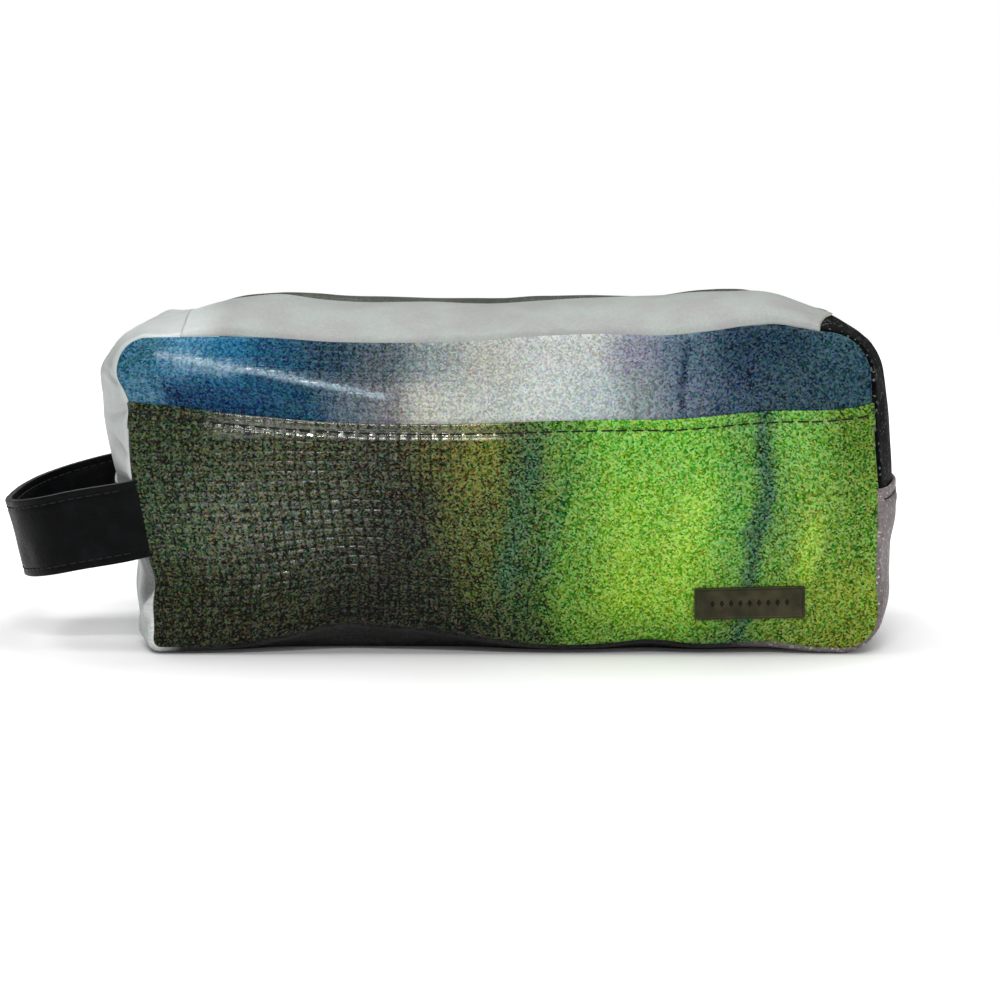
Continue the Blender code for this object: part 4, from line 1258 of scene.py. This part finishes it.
def plate_blank(bm):
    """The plate lying in XZ, its face towards +Y, with a raised rim."""
    made = bmesh.ops.create_cube(bm, size=1)["verts"]
    bmesh.ops.scale(bm, vec=(PLATE_WIDTH, PLATE_THICK, PLATE_HEIGHT), verts=made)
    bmesh.ops.translate(bm, vec=(0, PLATE_THICK / 2, 0), verts=made)
    face = [f for f in bm.faces if f.normal.y > 0.9]
    bmesh.ops.inset_region(bm, faces=face, thickness=PLATE_RIM)
    bmesh.ops.inset_region(bm, faces=face, thickness=0.25 * MM, depth=-PLATE_SUNK)


def lozenge(bm, middle):
    """One raised mark on the plate's field."""
    points = [(0, 1.5 * MM), (0.9 * MM, 0), (0, -1.5 * MM), (-0.9 * MM, 0)]
    foot, top = PLATE_THICK - PLATE_SUNK - 0.1 * MM, PLATE_THICK - 0.05 * MM
    low = [bm.verts.new((middle + x, foot, z)) for x, z in points]
    high = [bm.verts.new((middle + 0.7 * x, top, 0.7 * z)) for x, z in points]
    made = [bm.faces.new(low), bm.faces.new(high[::-1])]
    for j in range(4):
        k = (j + 1) % 4
        made.append(bm.faces.new((low[k], low[j], high[j], high[k])))
    for face in made:
        face.material_index = 1


def plate_seat():
    """The matrix that lays the plate on the front, square to the cloth around it."""
    step = 12 * MM
    x, z = PLATE_MIDDLE.x - 1.3 * MM, PLATE_MIDDLE.z + 0.2 * MM
    middle, right, left, up, down = (Vector(front(x + a, z + b)) for a, b in
                                     ((0, 0), (step, 0), (-step, 0), (0, step / 3), (0, -step / 3)))
    across = (right - left).normalized()
    out = across.cross(up - down).normalized()
    turn = Matrix((across, out, out.cross(across))).transposed().to_4x4()
    return Matrix.Translation(middle + out * 0.05 * MM) @ turn


def name_plate():
    """A cast plate with a raised rim and a row of plain lozenges where a name would be."""
    bm = bmesh.new()
    plate_blank(bm)
    for i in range(-4, 5):
        lozenge(bm, i * 3.15 * MM)
    bm.transform(plate_seat())
    bm.normal_update()
    bmesh.ops.recalc_face_normals(bm, faces=bm.faces)
    mesh = bpy.data.meshes.new("name_plate_cast")
    bm.to_mesh(mesh)
    bm.free()
    plate = link("name_plate_cast", mesh, GUNMETAL)
    mesh.materials.append(MARKS)
    mesh.shade_flat()
    ease(plate, 0.22 * MM)
    ride(plate, "name_plate")


LOOP_WIDTH = 27 * MM
LOOP_REACH = 41.5 * MM
LOOP_TILT = math.radians(-14)
LEATHER_THICK = 2.4 * MM
LOOP_STITCH = 2.7 * MM


def loop_course(count):
    """(places, directions out) in XY along the loop's outer face, from the front seam to the back seam."""
    leg = LOOP_LEG_Y
    turn = np.linspace(0, np.pi / 2, 60)
    bend = LOOP_REACH - 20 * MM
    x = -HALF - 20 * MM - bend * np.sin(turn) ** 0.9
    y = -leg * 0.97 * np.maximum(np.cos(turn), 0) ** 0.75
    start = [(-HALF + out, -leg + aside) for out, aside in ((2 * MM, -1.6 * MM), (-6 * MM, -0.9 * MM),
                                                            (-13 * MM, 0.2 * MM))]
    half = np.array(start + list(zip(x, y)))
    course = np.concatenate([half, (half * (1, -1))[-2::-1]])
    run = along(course)
    t = np.linspace(0, run[-1], count)
    places = np.stack([np.interp(t, run, course[:, k]) for k in (0, 1)], -1)
    for _ in range(6):
        places[1:-1] = (places[:-2] + 2 * places[1:-1] + places[2:]) / 4
    forward = np.gradient(places, axis=0)
    forward /= np.linalg.norm(forward, axis=1)[:, None]
    return places, np.stack([forward[:, 1], -forward[:, 0]], -1)


def on_loop(places, outs, across, depth):
    """Points on the strap: `across` up its width from the middle, `depth` in from its outer face."""
    flat = places - outs * depth[..., None]
    run = np.linspace(0, 1, len(places))[:, None]
    height = LOOP_Z + across + 0.5 * MM * np.sin(2.5 * np.pi * run) * (1 - (2 * run - 1) ** 8)
    x, y = np.broadcast_to(flat[..., 0], height.shape), np.broadcast_to(flat[..., 1], height.shape)
    dx, dz = x + HALF, height - LOOP_Z
    x = -HALF + dx * math.cos(LOOP_TILT) + dz * math.sin(LOOP_TILT)
    z = LOOP_Z - dx * math.sin(LOOP_TILT) + dz * math.cos(LOOP_TILT)
    near = smooth(-HALF - 22 * MM, -HALF - 2 * MM, x)
    share = 0.25 + 0.75 * smooth(DEEP, -DEEP, y)
    seam = share * LEFT_WAVE(z) - (z - LOOP_Z) * math.sin(LOOP_TILT)
    return np.stack([x + near * seam, y, z], -1)


def strap_section():
    """(across, depth, painted edge or not) round the strap's section, from its foot up the outer face."""
    half, thick, round_by = LOOP_WIDTH / 2, LEATHER_THICK, 0.45 * MM
    across = crowd(-half + round_by, half - round_by, 34, 0.5)
    turn = np.linspace(0, np.pi / 2, 4)[1:-1]
    # the edge is round at both corners, with the groove between the two plies in its middle
    rise, fall = round_by * np.sin(turn), round_by * np.cos(turn)
    groove = thick / 2 + np.array([-0.3 * MM, 0, 0.3 * MM])
    notch = [half, half - 0.22 * MM, half]
    edge_across = np.concatenate([half - round_by + rise, notch, half - round_by + fall])
    edge_depth = np.concatenate([round_by - fall, groove, thick - round_by + rise])
    is_edge = np.concatenate([0 * across, 1 + 0 * edge_across] * 2) > 0
    return (np.concatenate([across, edge_across, across[::-1], -edge_across]),
            np.concatenate([0 * across, edge_depth, 0 * across + thick, thick - edge_depth]), is_edge)


def strap(places, outs):
    """Two plies of leather glued face to face, with painted edges and a dent along each row of stitches."""
    across, depth, is_edge = strap_section()
    n, m = len(places), len(across)
    dent = 0.3 * MM * bell(np.abs(across) - LOOP_WIDTH / 2 + LOOP_STITCH, 0.7 * MM) * ~is_edge
    way = np.where(depth < LEATHER_THICK / 2, 1, -1)
    run, across = np.broadcast_arrays(np.arange(n)[:, None] * MM, across[None])
    depth = depth[None] + way * dent + 0.22 * MM * dapple(run, across, 9 * MM, 71)
    points = on_loop(places[:, None], outs[:, None], across, depth)
    index = np.arange(n * m).reshape(n, m)
    after = np.roll(index, -1, 1)
    quads = np.stack([index[:-1], index[1:], after[1:], after[:-1]], -1).reshape(-1, 4)
    faces = quads.tolist() + [index[0].tolist(), index[-1][::-1].tolist()]
    mesh = mesh_of("handle_strap", points.reshape(-1, 3).tolist(), faces)
    obj = link("handle_strap", mesh, LEATHER)
    mesh.materials.append(EDGE_PAINT)
    slots = np.concatenate([np.tile(is_edge & np.roll(is_edge, -1), n - 1), [False, False]]).astype(int)
    mesh.polygons.foreach_set("material_index", slots)
    fix = bmesh.new()
    fix.from_mesh(mesh)
    bmesh.ops.recalc_face_normals(fix, faces=fix.faces)
    fix.to_mesh(mesh)
    fix.free()
    ride_handle(obj, "handle_outer_strap", "handle_inner_strap", "handle_front_end", "handle_back_end")


def strap_stitching(places, outs):
    """A row of stitches along each edge, seen on both faces."""
    count = len(places)
    proud = 0.22 * MM  # how deep the stitches' middles lie in the leather
    for word, way in (("upper", 1), ("lower", -1)):
        across = np.full((count, 1), way * (LOOP_WIDTH / 2 - LOOP_STITCH))
        for face, depth, outward in (("outer", proud, MM), ("inner", LEATHER_THICK - proud, -MM)):
            path, off = (on_loop(places[:, None], outs[:, None], across, np.full((count, 1), d))[6:-6, 0]
                         for d in (depth, depth - outward))
            name = f"handle_{word}_stitching_{face}"
            row = stitches(name, path, (off - path) / MM, FINE_PITCH, 0.24 * MM, 0.2, seed=31 + way)
            ride_handle(row, f"handle_{word}_stitching")


def loop():
    places, outs = loop_course(200)
    strap(places, outs)
    strap_stitching(places, outs)


def metal_parts():
    """The slider, the puller, the stops and the plate's backing keep their CAD shape, with eased edges."""
    for node, finish, width in (("zip_slider", GUNMETAL, 0.3), ("zip_puller", GUNMETAL, 0.25),
                                ("zip_bottom_stop", GUNMETAL, 0.3), ("zip_top_stop", GUNMETAL, 0.3),
                                ("name_plate_backing", STEEL, 0.1)):
        obj = frame["nodes"][node]
        obj.material_slots[0].material = finish
        weld = obj.modifiers.new("weld", "WELD")
        weld.merge_threshold = 0.01 * MM
        ease(obj, width * MM).limit_method = "ANGLE"


# ---- studio ----

def floor():
    """White paper. Away from the bag the camera sees it lifted to the white of the background."""
    p = Paint("studio_floor")
    tone = p.mix(p.step(p.noise(p.object_mm(), 90, 3.0), 0.3, 0.7), rgb(238, 238, 238), rgb(243, 243, 243))
    away = p.length(p.node("TexCoord").outputs["Object"])
    lift = p.times(p.step(away, 0.1, 0.32, 0.02, 0.4), p.node("LightPath").outputs["Is Camera Ray"])
    finish = p.finish(Base_Color=tone, Roughness=0.7, Emission_Color=(1, 1, 1, 1), Emission_Strength=lift)
    side = 1.15
    corners = [(-side, -side, 0), (side, -side, 0), (side, side, 0), (-side, side, 0)]
    link("floor", mesh_of("floor", corners, [(0, 1, 2, 3)]), finish)


def softbox(name, place, aim, size, power):
    data = bpy.data.lights.new(name, "AREA")
    data.shape = "RECTANGLE"
    data.size, data.size_y = size
    data.energy = power
    look_at(bpy.data.objects.new(name, data), place, aim)


def background():
    """White to the camera, and dimmer to the bag."""
    world = bpy.data.worlds.new("studio")
    bpy.context.scene.world = world
    world.use_nodes = True
    nodes, links = world.node_tree.nodes, world.node_tree.links
    seen = nodes.new("ShaderNodeLightPath")
    strength = nodes.new("ShaderNodeMapRange")
    strength.inputs[3].default_value = 0.22
    strength.inputs[4].default_value = 1.0
    links.new(seen.outputs["Is Camera Ray"], strength.inputs[0])
    ground = nodes["Background"]
    ground.inputs["Color"].default_value = (1, 1, 1, 1)
    links.new(strength.outputs[0], ground.inputs["Strength"])


def studio():
    """A large box overhead, a small one for the glints along the hem, and one at the front right."""
    floor()
    background()
    softbox("overhead", (0, 0.3, 2.0), (0, 0, 0), (3.2, 3.2), 68)
    softbox("sparkle", (-0.06, -1.25, 0.86), (-0.04, 0, 0.06), (0.34, 0.08), 7)
    softbox("front_right", (1.2, -1.9, 0.9), (0, 0, 0.05), (1.4, 1.2), 12)


def look_at(obj, place, aim):
    """Put a lamp or a camera at a place and turn it towards another."""
    obj.location = place
    obj.rotation_euler = (Vector(aim) - Vector(place)).to_track_quat("-Z", "Y").to_euler()
    bpy.context.collection.objects.link(obj)


def camera():
    """A long lens a little above the bag, square to its front."""
    data = bpy.data.cameras.new("camera")
    data.sensor_width = 36
    data.lens = 165
    data.clip_end = 30
    cam = bpy.data.objects.new("camera", data)
    away, raised = 1.55, math.radians(7)
    aim = Vector((-0.85 * MM, -DEEP, 53.1 * MM))
    look_at(cam, aim + away * Vector((0, -math.cos(raised), math.sin(raised))), aim)
    bpy.context.scene.camera = cam


front_panels()
back_panel()
end_panels()
lower_gusset()
lap_stitching()
top_halves()
linings()
seam_bindings()
name_plate()
loop()
metal_parts()
studio()
camera()
bpy.context.scene.view_settings.view_transform = "Standard"
